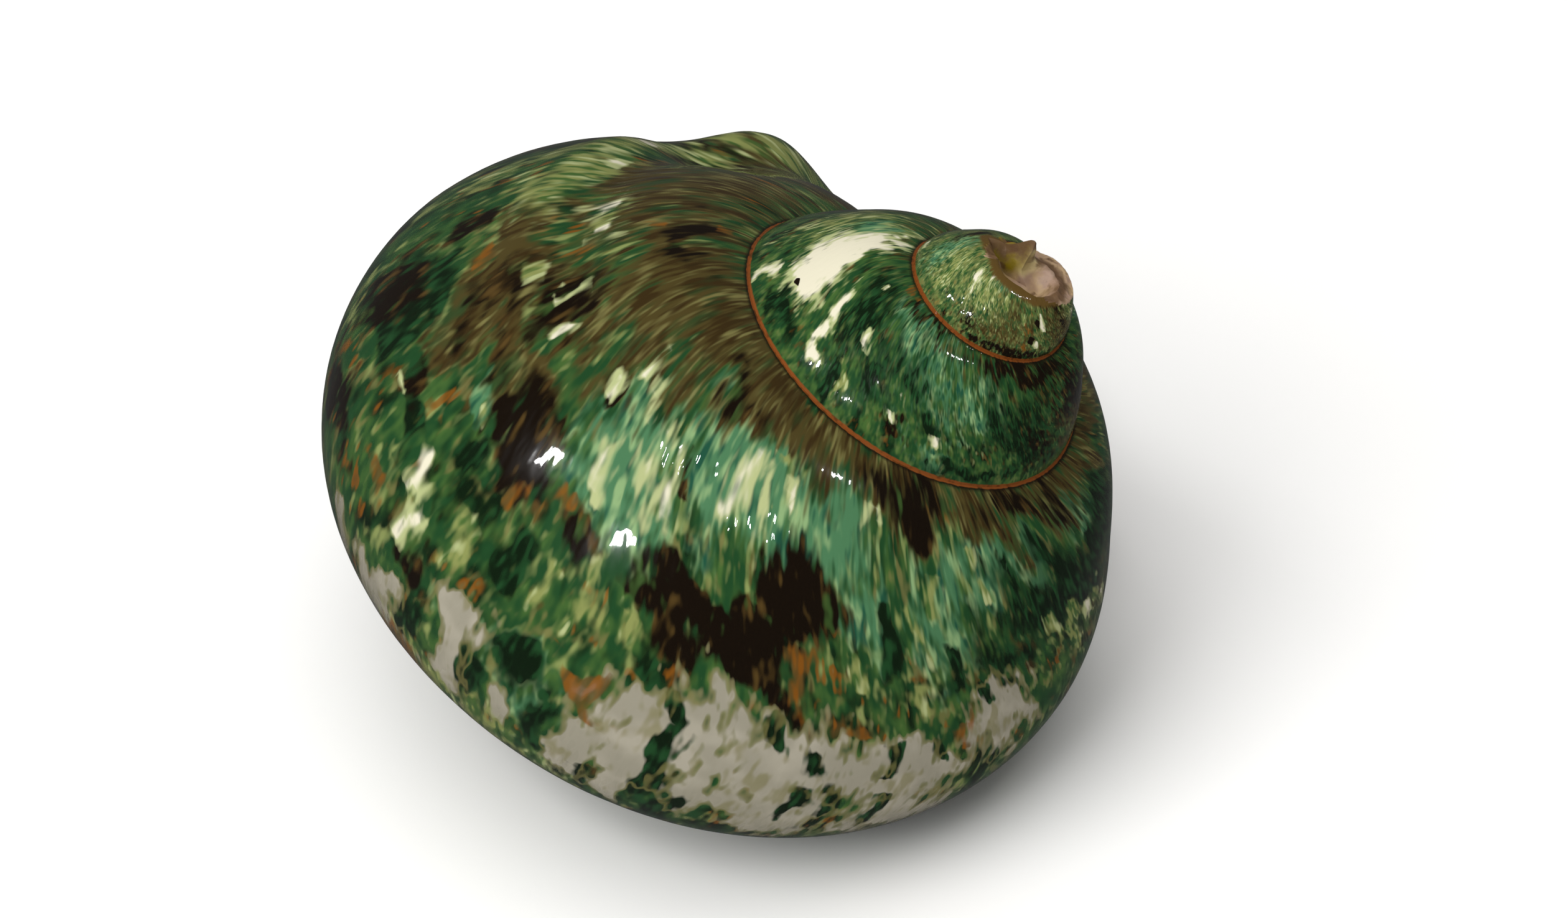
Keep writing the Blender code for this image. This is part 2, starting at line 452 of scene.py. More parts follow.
@dataclass(frozen=True)
class Patch:
    """A patch of one colour: its place, and its half sizes along the turn and around the section."""

    layer: Layer
    turn: float
    angle_deg: float
    length: float
    width_deg: float
    strength: float = 1.0

    def cover(self, line: Array, angle: Array) -> Array:
        """How far inside the patch each place lies: 1 at its middle, 0 at its edge."""
        across = line - growth_line(self.turn, degrees(self.angle_deg))
        around = angle - degrees(self.angle_deg)
        far = np.hypot(across / self.length, around / degrees(self.width_deg))
        return self.strength * (1 - far)


@dataclass(frozen=True)
class Streak:
    """A streak of one colour along a growth line, from one angle to another."""

    layer: Layer
    turn: float
    low_deg: float
    high_deg: float
    half_width: float = 0.0065
    strength: float = 1.0
    core: float = 0.6

    def cover(self, line: Array, angle: Array) -> Array:
        """How far inside the streak each place lies: 1 on its line, 0 at its edge."""
        middle = degrees((self.low_deg + self.high_deg) / 2)
        reach = degrees((self.high_deg - self.low_deg) / 2)
        across = (line - growth_line(self.turn, middle)) / self.half_width
        beyond = np.maximum(np.abs(angle - middle) - reach * self.core, 0) / (reach * (1 - self.core))
        return self.strength * (1 - np.hypot(across, beyond))


@dataclass(frozen=True)
class Wander:
    """Slow waves that carry the markings off their straight places, drawn with a fixed seed."""

    seed: int = 3
    waves: int = 14
    shortest_mm: float = 3.5
    longest_mm: float = 12.0
    share: float = 0.026

    def move(self, line: Array, angle: Array) -> tuple[Array, Array]:
        """Places moved by the waves.

        Args:
            line: The growth lines that the places lie on.
            angle: The angles of the places.

        Returns:
            The growth lines and angles after the move.
        """
        draws = np.random.default_rng(self.seed)
        moved = [line.copy(), angle.copy()]
        for i, per_mm in enumerate((1 / MM_PER_TURN, 1 / MM_PER_RADIAN)):
            for length in np.geomspace(self.shortest_mm, self.longest_mm, self.waves):
                way, phase = draws.uniform(0, 2 * math.pi, 2)
                across = line * MM_PER_TURN * math.cos(way) + angle * MM_PER_RADIAN * math.sin(way)
                wave = np.sin(across * (2 * math.pi / length) + phase)
                moved[i] += wave * length * self.share * per_mm * (1 + i)
        return moved[0], moved[1]


# Patches as turn, angle in degrees, half length in turns, half width in degrees and strength.
PATCHES = {
    Layer.TEAL: (
        (-0.66, 78, 0.055, 8), (-0.545, 76, 0.03, 10), (-0.49, 73, 0.05, 14), (-0.455, 52, 0.034, 16),
        (-0.76, 82, 0.03, 8, 0.7), (-0.585, 62, 0.016, 12, 0.8), (-0.63, 62, 0.02, 16, 0.6),
        (-1.52, 70, 0.05, 22, 0.4), (-1.60, 66, 0.03, 14, 0.5), (-1.46, 84, 0.04, 8, 0.6),
        (-1.26, 78, 0.03, 12, 0.8), (-1.58, 20, 0.02, 6, 0.6), (-2.31, 45, 0.03, 40, 0.7),
        (-2.47, 82, 0.02, 8, 0.7),
    ),
    Layer.OLIVE: (
        (-0.95, 93, 0.3, 9), (-0.65, 94, 0.25, 9), (-0.45, 92, 0.2, 11), (-0.34, 82, 0.09, 14),
        (-0.25, 76, 0.08, 20), (-0.14, 76, 0.05, 22), (-0.02, 80, 0.08, 16), (0.05, 84, 0.06, 14),
        (-0.36, 60, 0.05, 12, 0.8), (-0.79, 45, 0.02, 22, 0.7), (-0.70, 50, 0.012, 10, 0.8),
        (-0.375, 41, 0.05, 9, 1.4), (-0.355, 30, 0.03, 13, 1.4), (-0.325, 44, 0.04, 10, 1.3),
        (-0.235, 63, 0.035, 8, 1.4), (-0.14, 57, 0.04, 14, 1.2), (-1.80, 30, 0.05, 40),
        (-2.74, 45, 0.08, 60, 0.8), (-2.57, 30, 0.08, 60, 0.5),
    ),
    Layer.DARK: (
        (-0.555, 56, 0.032, 15, 2.4), (-0.532, 35, 0.046, 13, 2.4), (-0.573, 26, 0.012, 7),
        (-0.42, 33, 0.026, 12, 1.5), (-0.37, 37, 0.03, 9, 0.4), (-0.36, 58, 0.026, 13, 0.9),
        (-0.302, 28, 0.012, 9), (-0.435, -19, 0.014, 8), (-0.355, -21, 0.034, 7), (-0.69, 92, 0.06, 7),
        (-0.58, 91, 0.05, 7), (-0.43, 88, 0.03, 5, 0.7), (-0.47, 26, 0.012, 9), (-0.16, 58, 0.02, 8),
        (-0.31, 86, 0.03, 5, 0.8), (-1.66, 90, 0.16, 9), (-1.78, 60, 0.06, 34, 0.9),
        (-1.53, 32, 0.012, 9, 0.8), (-1.45, 92, 0.05, 6, 0.8), (-1.70, 40, 0.025, 26, 0.8),
        (-2.6, -2, 0.16, 12), (-2.73, 55, 0.012, 25, 0.8), (-2.69, 85, 0.05, 12, 0.8),
        (-2.245, 66, 0.016, 26), (-2.60, 88, 0.05, 8, 0.8), (-2.49, 18, 0.014, 20, 0.8),
    ),
    Layer.NACRE: (
        (-0.695, 24, 0.024, 22), (-0.65, 6, 0.04, 14), (-0.595, 4, 0.045, 17), (-0.55, 6, 0.022, 14),
        (-0.60, -18, 0.034, 15, 1.3), (-0.575, -22, 0.014, 12), (-0.66, -16, 0.03, 14),
        (-0.543, -9, 0.026, 20, 1.3),
    ),
    Layer.LIME: (
        (-0.13, 62, 0.02, 10), (-0.05, 70, 0.03, 14, 0.8), (-0.20, 48, 0.05, 9, 1.4),
        (-0.265, 47, 0.04, 11, 1.6), (-0.143, 55, 0.03, 13, 0.6), (-0.295, 66, 0.02, 7, 0.8),
        (-0.265, 24, 0.014, 9), (-0.27, 44, 0.012, 9, 0.8), (-0.24, 40, 0.014, 8, 0.8),
        (-0.13, 50, 0.02, 7), (-1.245, 60, 0.04, 35), (-1.25, 86, 0.03, 8, 0.8),
        (-2.78, 55, 0.03, 40, 0.7), (-2.46, 62, 0.08, 34, 0.9), (-2.36, 50, 0.05, 40, 0.8),
    ),
    Layer.CREAM: (
        (-1.328, 56, 0.048, 27, 2.6), (-1.30, 78, 0.032, 11, 2.2), (-1.265, 91, 0.035, 5),
        (-2.42, 66, 0.020, 11, 1.4), (-2.27, 0, 0.02, 14),
    ),
    Layer.ORANGE: ((-1.385, 95, 0.02, 4),),
    Layer.PIT: (
        (-1.352, 38, 0.006, 4, 1.4), (-2.635, 29, 0.011, 8, 1.5), (-2.630, 62, 0.008, 8, 1.3),
        (-2.36, 96, 0.04, 4),
    ),
    Layer.BLACK_GREEN: (
        (-0.73, 62, 0.07, 22, 1.3), (-0.69, 50, 0.03, 14, 0.8), (-0.487, -12, 0.016, 10, 1.1),
        (-0.80, 74, 0.06, 14, 0.9), (-0.43, 12, 0.03, 14, 0.5), (-1.42, 66, 0.03, 25),
        (-1.37, 24, 0.03, 14), (-1.63, 17, 0.07, 7), (-1.68, 45, 0.05, 36), (-1.55, 45, 0.02, 16),
        (-1.46, 26, 0.02, 16), (-1.38, 84, 0.03, 10), (-1.48, 46, 0.02, 20), (-1.50, 62, 0.05, 20, 0.6),
        (-1.62, 60, 0.012, 22), (-2.50, 48, 0.012, 16, 0.7),
    ),
}

# Streaks as turn, lowest and highest angle in degrees, half width in turns and strength.
STREAKS = {
    Layer.TEAL: ((-0.395, 22, 36, 0.009), (-0.49, -24, -6, 0.016, 0.2)),
    Layer.DARK: (
        (-0.475, 58, 66), (-0.413, 60, 66), (-0.375, 0, 20, 0.012, 0.8), (-0.33, -10, 18, 0.02, 0.8),
    ),
    Layer.NACRE: (
        (-0.527, -44, -8, 0.01), (-0.468, -44, -4, 0.009), (-0.495, -46, -22, 0.007),
        (-0.43, -46, -28, 0.007), (-0.548, -46, -20, 0.007), (-0.39, -50, -34, 0.008),
    ),
    Layer.LIME: (
        (-0.49, 8, 28), (-0.505, 12, 26), (-0.474, 5, 17), (-0.75, 30, 60, 0.007),
        (-0.785, 28, 56, 0.008), (-0.725, 44, 62), (-0.62, 50, 64), (-0.64, 30, 46), (-0.60, 36, 48),
        (-0.615, 66, 78), (-0.445, -14, 4), (-0.64, 74, 84), (-0.345, 44, 52), (-0.50, 76, 83, 0.012),
        (-0.40, 26, 34), (-1.47, 14, 40), (-2.59, 50, 72, 0.01), (-2.47, 52, 70, 0.012),
        (-2.385, 4, 56, 0.016), (-2.345, 50, 74, 0.012), (-2.52, 62, 82, 0.014),
    ),
    Layer.CREAM: (
        (-0.41, -3, 7, 0.008), (-0.424, -16, -4), (-0.292, 53, 64, 0.01), (-0.195, 44, 53, 0.009),
        (-0.455, 48, 72, 0.0065, 0.7), (-0.474, 44, 66, 0.0065, 0.7), (-0.435, 58, 76, 0.0065, 0.7),
        (-0.447, 40, 56, 0.007, 0.7), (-0.405, 61, 70, 0.007), (-0.416, 66, 74),
        (-0.49, 62, 82, 0.007, 0.7), (-0.508, 58, 80, 0.0065, 0.6), (-0.238, 53, 57, 0.009),
        (-0.345, 60, 64, 0.009, 0.8), (-0.768, 34, 56), (-0.376, 0, 5), (-0.80, 20, 48),
        (-0.56, 80, 86, 0.0065, 0.7), (-0.52, 72, 79), (-0.378, 51, 55), (-0.31, 64, 69),
        (-1.43, 19, 33, 0.011, 1.3), (-1.413, 31, 49, 0.009, 1.2), (-1.393, 47, 70, 0.009, 1.2),
        (-1.437, 59, 70), (-1.57, 25, 43, 0.009), (-1.518, 36, 45, 0.007), (-1.325, 12, 28, 0.008),
        (-1.382, 80, 86, 0.008), (-2.43, 74, 98, 0.01), (-2.445, 40, 62, 0.008),
        (-2.65, 44, 70, 0.01, 1.2), (-2.655, 10, 26, 0.008),
    ),
    Layer.ORANGE: (
        (-0.514, -9, 2, 0.008), (-0.498, 3, 9), (-0.455, 24, 36, 0.007), (-0.438, 20, 30),
        (-0.40, -22, -8, 0.011), (-0.322, 28, 40, 0.012, 0.9), (-0.30, 76, 82, 0.007),
        (-0.578, 22, 42, 0.0065, 0.9), (-0.285, 88, 94, 0.009), (-0.665, 24, 30), (-0.615, 17, 22),
        (-0.63, 42, 50, 0.0065, 0.8), (-2.61, 40, 56, 0.01), (-2.625, 2, 20, 0.01),
        (-2.43, 86, 98, 0.008),
    ),
    Layer.BLACK_GREEN: (
        (-0.555, -40, 8), (-0.585, 4, 22), (-0.542, 6, 20), (-0.625, -26, 4), (-0.645, -22, 0),
        (-0.61, -20, -2), (-0.70, -12, 12), (-0.665, 8, 20), (-0.512, -40, -10), (-0.57, -44, -22),
        (-0.635, 10, 20), (-0.605, 2, 14), (-0.68, 26, 40), (-0.535, -46, -30), (-0.39, -4, 12, 0.012),
        (-0.52, 8, 24, 0.008), (-0.46, 0, 22, 0.008), (-0.42, 6, 22, 0.012), (-0.34, -8, 24, 0.03),
        (-0.48, -40, -22), (-0.445, -44, -26), (-0.68, 62, 82, 0.008), (-0.61, 44, 60),
        (-0.65, 36, 60), (-0.70, 60, 76), (-0.735, 50, 72, 0.007), (-0.77, 60, 80, 0.012),
    ),
}


@dataclass(frozen=True)
class HiddenPatches:
    """Patches for the sides that the photograph doesn't show, drawn with a fixed seed."""

    seed: int = 7
    count: int = 120
    turns: tuple[float, float] = (-2.9, 0.07)
    angles_deg: tuple[float, float] = (-140, 88)
    lengths: tuple[float, float] = (0.015, 0.06)
    widths_deg: tuple[float, float] = (8, 24)
    small_share: tuple[float, float] = (0.4, 0.7)
    strength: float = 1.5
    worn_length: float = 0.035
    worn_width_deg: float = 17
    worn_at: tuple = ((-0.92, 8), (-0.87, 0), (-0.16, -12), (-0.11, -2), (-0.03, -14), (0.02, 0), (-0.22, -4))
    seen_turns: tuple = ((-0.82, -0.24, -45), (-1.85, -1.18, -15), (-2.75, -2.2, -15))

    def is_seen(self, turn: float, angle_deg: float) -> bool:
        """Whether a place lies on the side that the photograph shows."""
        return any(low < turn < high and angle_deg > lowest for low, high, lowest in self.seen_turns)

    def draw(self) -> list[Patch]:
        """Draw the patches, leave out those that the photograph would show, and add worn places."""
        draws = np.random.default_rng(self.seed)
        layers = (
            Layer.TEAL, Layer.DARK, Layer.NACRE, Layer.CREAM, Layer.LIME,
            Layer.DARK, Layer.ORANGE, Layer.CREAM, Layer.OLIVE, Layer.BLACK_GREEN,
        )
        spans = (self.turns, self.angles_deg, self.lengths, self.widths_deg)
        found = []
        for i in range(self.count):
            turn, angle, length, width = (draws.uniform(*span) for span in spans)
            layer = layers[i % len(layers)]
            if layer in (Layer.CREAM, Layer.ORANGE):
                length, width = length * self.small_share[0], width * self.small_share[1]
            if not self.is_seen(turn, angle):
                found.append(Patch(layer, turn, angle, length, width, self.strength))
        worn = (self.worn_length, self.worn_width_deg, self.strength)
        return found + [Patch(Layer.NACRE, turn, angle, *worn) for turn, angle in self.worn_at]


def all_marks() -> list[Union[Patch, Streak]]:
    """The patches and streaks that the photograph shows, and the drawn ones."""
    shown = [
        kind(layer, *sizes)
        for kind, table in ((Patch, PATCHES), (Streak, STREAKS))
        for layer, rows in table.items()
        for sizes in rows
    ]
    return shown + HiddenPatches().draw()


@dataclass
class Sheet:
    """A grid of places on the shell, by row and column.

    A sheet is either rolled up by the node tree from turn, angle, drop and gather, or already
    in place in the coil's frame, where points are given.
    """

    finish: Finish
    turn: Array
    angle: Array
    drop: Array
    gather: Array
    points: Optional[Array] = None
    calm: Array = field(default_factory=lambda: np.zeros(()))
    below: Array = field(default_factory=lambda: np.full((), FAR_MM))
    above: Array = field(default_factory=lambda: np.full((), FAR_MM))

    def flat(self, values: Array) -> Array:
        """One value for each point, in the order of the mesh."""
        return np.broadcast_to(values, self.turn.shape).ravel()

    def positions(self) -> Array:
        """Where the points start: unrolled, or in place."""
        if self.points is not None:
            return self.points.reshape(-1, 3)
        return np.stack([self.flat(v) for v in (self.turn, self.angle, self.drop)], 1)

    def faces(self, first: int) -> Array:
        """The grid's faces, with corners counted on from first."""
        rows, columns = self.turn.shape
        corner = np.arange(rows * columns).reshape(rows, columns) + first
        around = (corner[1:, :-1], corner[1:, 1:], corner[:-1, 1:], corner[:-1, :-1])
        return np.stack(around, -1).reshape(-1, 4)


@dataclass
class ShellSurface:
    """The shell's outside, hollow, lip and broken tip as unrolled sheets."""

    rows_per_turn: int = 360
    spire_rows: int = 825
    spire_columns: int = 40
    body_columns: int = 112
    axis_steps: int = 36
    hollow_rows: int = 44
    lip_rows: int = 8
    tip_rows: int = 8
    lean_start: float = 0.3
    calm_share: float = 0.06
    break_edge: tuple = (
        (0.0, 8), (0.05, 5), (0.55, 0), (0.62, 3), (0.70, 0),
        (0.78, 4), (0.86, 0), (0.93, 8), (0.965, 14), (1.0, 0),
    )
    tip_depth: float = 0.0027
    tip_slope: float = 0.45
    tip_radius_mm: float = 3.0
    calm_rows: float = 30.0
    calm_lip: float = 0.03
    calm_base: float = 0.5

    @property
    def rim_columns(self) -> int:
        """Columns round the mouth."""
        return 2 * self.body_columns + self.axis_steps - self.spire_columns

    def to_world(self, points: Array) -> Array:
        """Turn and move points from the coil's frame to the shell's."""
        return points @ np.array(TURN_OVER).T + np.array(FOOT)

    def to_coil(self, points: Array) -> Array:
        """Turn and move points back to the coil's frame."""
        return (points - np.array(FOOT)) @ np.array(TURN_OVER)

    def calm_near(self, away_mm: Array, size_mm: Array) -> Array:
        """Share of the fine relief that is left near an edge, where two sheets have to meet."""
        return rise(away_mm / size_mm, 0, self.calm_share)

    def spire(self) -> Sheet:
        """The turns above the last one."""
        rows = np.arange(self.spire_rows + 1)
        turn = LAST_TURN - 1 - (self.spire_rows - rows) / self.rows_per_turn
        top = suture(turn)[0]
        broken = rows < self.rows_per_turn
        edge = top - np.radians(np.interp(rows / self.rows_per_turn, *np.array(self.break_edge).T)) * broken
        foot = suture(turn + 1)[1]
        share = np.linspace(0, 1, self.spire_columns + 1)
        angle = mix(edge[:, None], foot[:, None], share[None, :])
        turn = np.broadcast_to(turn[:, None], angle.shape)
        size = SHELL.whorl_radius * SHELL.growth ** turn * 1000
        below = (edge[:, None] - angle) * size
        above = (angle - foot[:, None]) * size
        calm = self.calm_near(np.minimum(below, above), size)
        calm = np.minimum(calm, rise(rows[:, None], 0, self.calm_rows))
        zero = np.zeros_like(angle)
        return Sheet(Finish.POLISHED, turn, angle, zero, zero, None, calm, below, above)

    def body_angles(self, top: Array) -> Array:
        """Angles of the last turn's columns, from the suture over the base to the axis."""
        upper = np.linspace(0, 1, self.spire_columns + 1)
        lower = np.linspace(0, 1, self.body_columns - self.spire_columns + 1)[1:]
        upper_angles = mix(top[:, None], SPIRE_FOOT, upper[None, :])
        lower_angles = np.broadcast_to(mix(SPIRE_FOOT, COLUMELLA_ANGLE, lower), (len(top), len(lower)))
        return np.concatenate([upper_angles, lower_angles], 1)

    def body(self) -> Sheet:
        """The last turn; its growth lines lean until they lie in the mouth's plane."""
        rows = np.arange(self.rows_per_turn + 1)
        share = rows / self.rows_per_turn
        turn = LAST_TURN - 1 + share
        angle = self.body_angles(suture(turn)[0])
        rim = np.concatenate([
            np.zeros((len(rows), 1)),
            WALL.rim_turn(angle[:, 1:self.spire_columns + 1]) - LAST_TURN,
            np.broadcast_to(
                WALL.rim_turn(angle[0, self.spire_columns + 1:]) - LAST_TURN,
                (len(rows), self.body_columns - self.spire_columns),
            ),
        ], 1)
        leaning = turn[:, None] + rim * rise(share, self.lean_start, 1)[:, None]
        steps = self.rows_per_turn // self.axis_steps
        leaning[:, -1] = leaning[rows // steps * steps, -1]
        gather = gather_of(angle)
        size = SHELL.whorl_radius * SHELL.growth ** leaning * 1000
        below = (angle[:, :1] - angle) * size
        above = (angle - SPIRE_FOOT) * size + share[:, None] * (MM_PER_TURN * 2)
        calm = self.calm_near(np.minimum(below, above), size)
        calm = np.minimum(calm, rise(1 - share, 0, self.calm_lip)[:, None])
        calm = np.minimum(calm, rise(1 - gather, 0, self.calm_base))
        return Sheet(Finish.POLISHED, leaning, angle, np.zeros_like(angle), gather, None, calm, below)

    def hollow_start(self) -> tuple[Array, Array]:
        """Turn and angle where each column of the hollow starts."""
        outer = self.body_angles(np.array([BODY_TOP]))[0]
        columns = self.rim_columns - self.body_columns
        inner = mix(COLUMELLA_ANGLE + 2 * math.pi, BODY_TOP, np.arange(1, columns + 1) / columns)

        def above_lip(turn: Array) -> Array:
            return height(turn, inner, WALL.hollow_wall(turn, inner)) > WALL.lip_round

        low = np.full_like(inner, WALL.rim_turns[0])
        inner_turn = solve(low, LAST_TURN - WALL.setback, above_lip)
        outer_turn = WALL.rim_turn(outer, inside=True)
        turn, angle = np.concatenate([outer_turn, inner_turn]), np.concatenate([outer, inner])
        turn[-1], angle[-1] = turn[0], angle[0]
        return turn, angle

    def hollow(self) -> Sheet:
        """The inner surface, from the mouth to the rounded end of the hollow."""
        start, angle = self.hollow_start()
        share = np.linspace(0, 1, self.hollow_rows + 1)
        turn = mix(start[None, :], LAST_TURN - WALL.turns, share[:, None])
        angle = np.broadcast_to(angle[None, :], turn.shape)
        past = np.maximum(0, share - 1 + WALL.taper)[:, None] / WALL.taper
        wall = WALL.hollow_wall(turn, angle) * np.sqrt(1 - past ** 2)
        drop = SHELL.wall_radius(turn, angle) - wall
        return Sheet(Finish.LINING, turn, angle, drop, np.zeros_like(turn))

    def lip(self, body: Sheet, hollow: Sheet) -> Sheet:
        """The rim, from the outer edge and up the axis to the hollow's first row."""
        outer = [(self.rows_per_turn, c) for c in range(self.body_columns + 1)]
        step = self.rows_per_turn // self.axis_steps
        outer += [(self.rows_per_turn - b * step, self.body_columns) for b in range(1, self.axis_steps + 1)]
        outer += [(0, c) for c in range(self.body_columns - 1, self.spire_columns - 1, -1)]
        rows, columns = np.array(outer).T
        turn, angle, gather = body.turn[rows, columns], body.angle[rows, columns], body.gather[rows, columns]
        wall = SHELL.wall_radius(turn, angle)
        edge = self.to_world(np.stack(SHELL.point(turn, angle, wall, gather), -1))
        inner_turn, inner_angle = hollow.turn[0], hollow.angle[0]
        inner_wall = SHELL.wall_radius(inner_turn, inner_angle) - hollow.drop[0]
        inner = self.to_world(np.stack(SHELL.point(inner_turn, inner_angle, inner_wall), -1))
        share = np.linspace(0, 1, self.lip_rows + 1)[:, None, None]
        points = mix(edge[None], inner[None], share)
        rounded = mix(edge[None, :, 2], inner[None, :, 2], 1 - np.sqrt(1 - share[..., 0] ** 2))
        column = np.arange(len(rows))
        points[..., 2] = np.where((column > 0) & (column <= self.body_columns), rounded, points[..., 2])
        turns, angles, zero = np.broadcast_arrays(turn, angle, np.zeros(points.shape[:2]))
        return Sheet(Finish.LIP, turns, angles, zero, zero, self.to_coil(points))

    def tip(self, spire: Sheet) -> Sheet:
        """The broken tip: from the break's edge down into a shallow hollow."""
        rows = [(r, 0) for r in range(self.rows_per_turn + 1)]
        rows += [(0, c) for c in range(self.spire_columns - 1, -1, -1)]
        row, column = np.array(rows).T
        turn, angle = spire.turn[row, column], spire.angle[row, column]
        edge = np.stack(SHELL.point(turn, angle, SHELL.wall_radius(turn, angle)), -1)
        middle = (edge[0] + edge[self.rows_per_turn // 2]) / 2
        share = np.linspace(0, 1, self.tip_rows + 1)[:, None]
        points = mix(edge[None], middle[None, None], share[..., None])
        points[..., 2] -= self.tip_depth * rise(share, 0, self.tip_slope)
        turns, angles, zero = np.broadcast_arrays(turn, angle, np.zeros(points.shape[:2]))
        sheet = Sheet(Finish.BROKEN, turns, angles, zero, zero, points)
        sheet.below = share * self.tip_radius_mm
        return sheet

    def sheets(self) -> list[Sheet]:
        """All the sheets that close the shell."""
        spire, body, hollow = self.spire(), self.body(), self.hollow()
        return [spire, body, hollow, self.lip(body, hollow), self.tip(spire)]


def cover_of(marks: Sequence[Union[Patch, Streak]], turn: Array, angle: Array) -> Array:
    """The strongest cover of each layer at each place.

    Args:
        marks: The patches and streaks to lay.
        turn: Turns of the places.
        angle: Angles of the places.

    Returns:
        One row for each place and one column for each layer.
    """
    cover = np.full((len(turn), len(Layer)), -1.0)
    line, angle = Wander().move(growth_line(turn, angle), angle)
    for mark in marks:
        column = mark.layer.value
        cover[:, column] = np.maximum(cover[:, column], mark.cover(line, angle))
    return cover


def unrolled_mesh(sheets: Sequence[Sheet], marks: Sequence[Union[Patch, Streak]]) -> bpy.types.Mesh:
    """Join the sheets into one flat mesh that carries what the node tree and the finishes read.

    Args:
        sheets: The sheets, unrolled or in place.
        marks: The markings.

    Returns:
        The mesh.
    """
    firsts = np.cumsum([0] + [s.turn.size for s in sheets])
    points = np.concatenate([s.positions() for s in sheets])
    faces = np.concatenate([s.faces(first) for s, first in zip(sheets, firsts)])
    mesh = bpy.data.meshes.new("unrolled_shell")
    mesh.from_pydata(points.tolist(), [], faces.tolist())
    turn = np.concatenate([s.flat(s.turn) for s in sheets])
    angle = np.concatenate([s.flat(s.angle) for s in sheets])
    below = np.concatenate([s.flat(s.below) for s in sheets])
    cover = cover_of(marks, turn, angle)
    vectors = {
        "place": np.stack([turn, angle, below], 1),
        "marks_a": cover[:, 0:3],
        "marks_b": cover[:, 3:6],
        "marks_c": cover[:, 6:9],
    }
    for name, values in vectors.items():
        layer = mesh.attributes.new(name, "FLOAT_VECTOR", "POINT")
        layer.data.foreach_set("vector", values.astype(np.float32).ravel())
    numbers = {
        "gather": [s.flat(s.gather) for s in sheets],
        "calm": [s.flat(s.calm) for s in sheets],
        "above": [s.flat(s.above) for s in sheets],
        "rolled": [np.full(s.turn.size, float(s.points is None)) for s in sheets],
    }
    for name, values in numbers.items():
        layer = mesh.attributes.new(name, "FLOAT", "POINT")
        layer.data.foreach_set("value", np.concatenate(values).astype(np.float32))
    finish = mesh.attributes.new("finish", "INT", "FACE")
    kinds = [np.full(len(s.faces(0)), s.finish.value) for s in sheets]
    finish.data.foreach_set("value", np.concatenate(kinds))
    return mesh


CORNER_VECTORS = ("place", "marks_a", "marks_b", "marks_c")
SHARP_ANGLE = degrees(50)


@dataclass(frozen=True)
class Relief:
    """The shell's fine relief, as shares of the turn's radius, and the break across its tip."""

    rib_height: float = 0.0018
    ribs_per_turn: float = 80.0
    dent_height: float = 0.006
    dents_per_turn: float = 16.0
    break_depth: float = 0.0038
    break_lean: float = 0.1
    break_slope: float = 0.42
    break_reach: float = 0.0024
    break_grain: float = 0.0008
    spike_height: float = 0.0024
    spike_width: float = 0.001
    spike_x: float = -0.0015
    spike_y: float = 0.0016
    weld: float = 0.000004


# The relief's noises: name, waves per radian round the whorl, seed and detail.
RELIEF_NOISES = (("rib", 1.5, 0.0, 1.0), ("dent", 3.0, 4.0, 2.0))

# The break falls away past a line, whose side and distance from the tip's axis are these.
BREAK_WAY, BREAK_HINGE = (-0.68, 0.73), 0.0005
BREAK_GRAINS_PER_METRE = 700.0
TORN_STEP = 0.00001

# Sockets that have to be named by number, because their names aren't unique.
COMPARED, COMPARED_WITH = 2, 3
MIX_SHARE, MIXED_UNDER, MIXED_OVER, MIXED_COLOUR = 0, 6, 7, 2


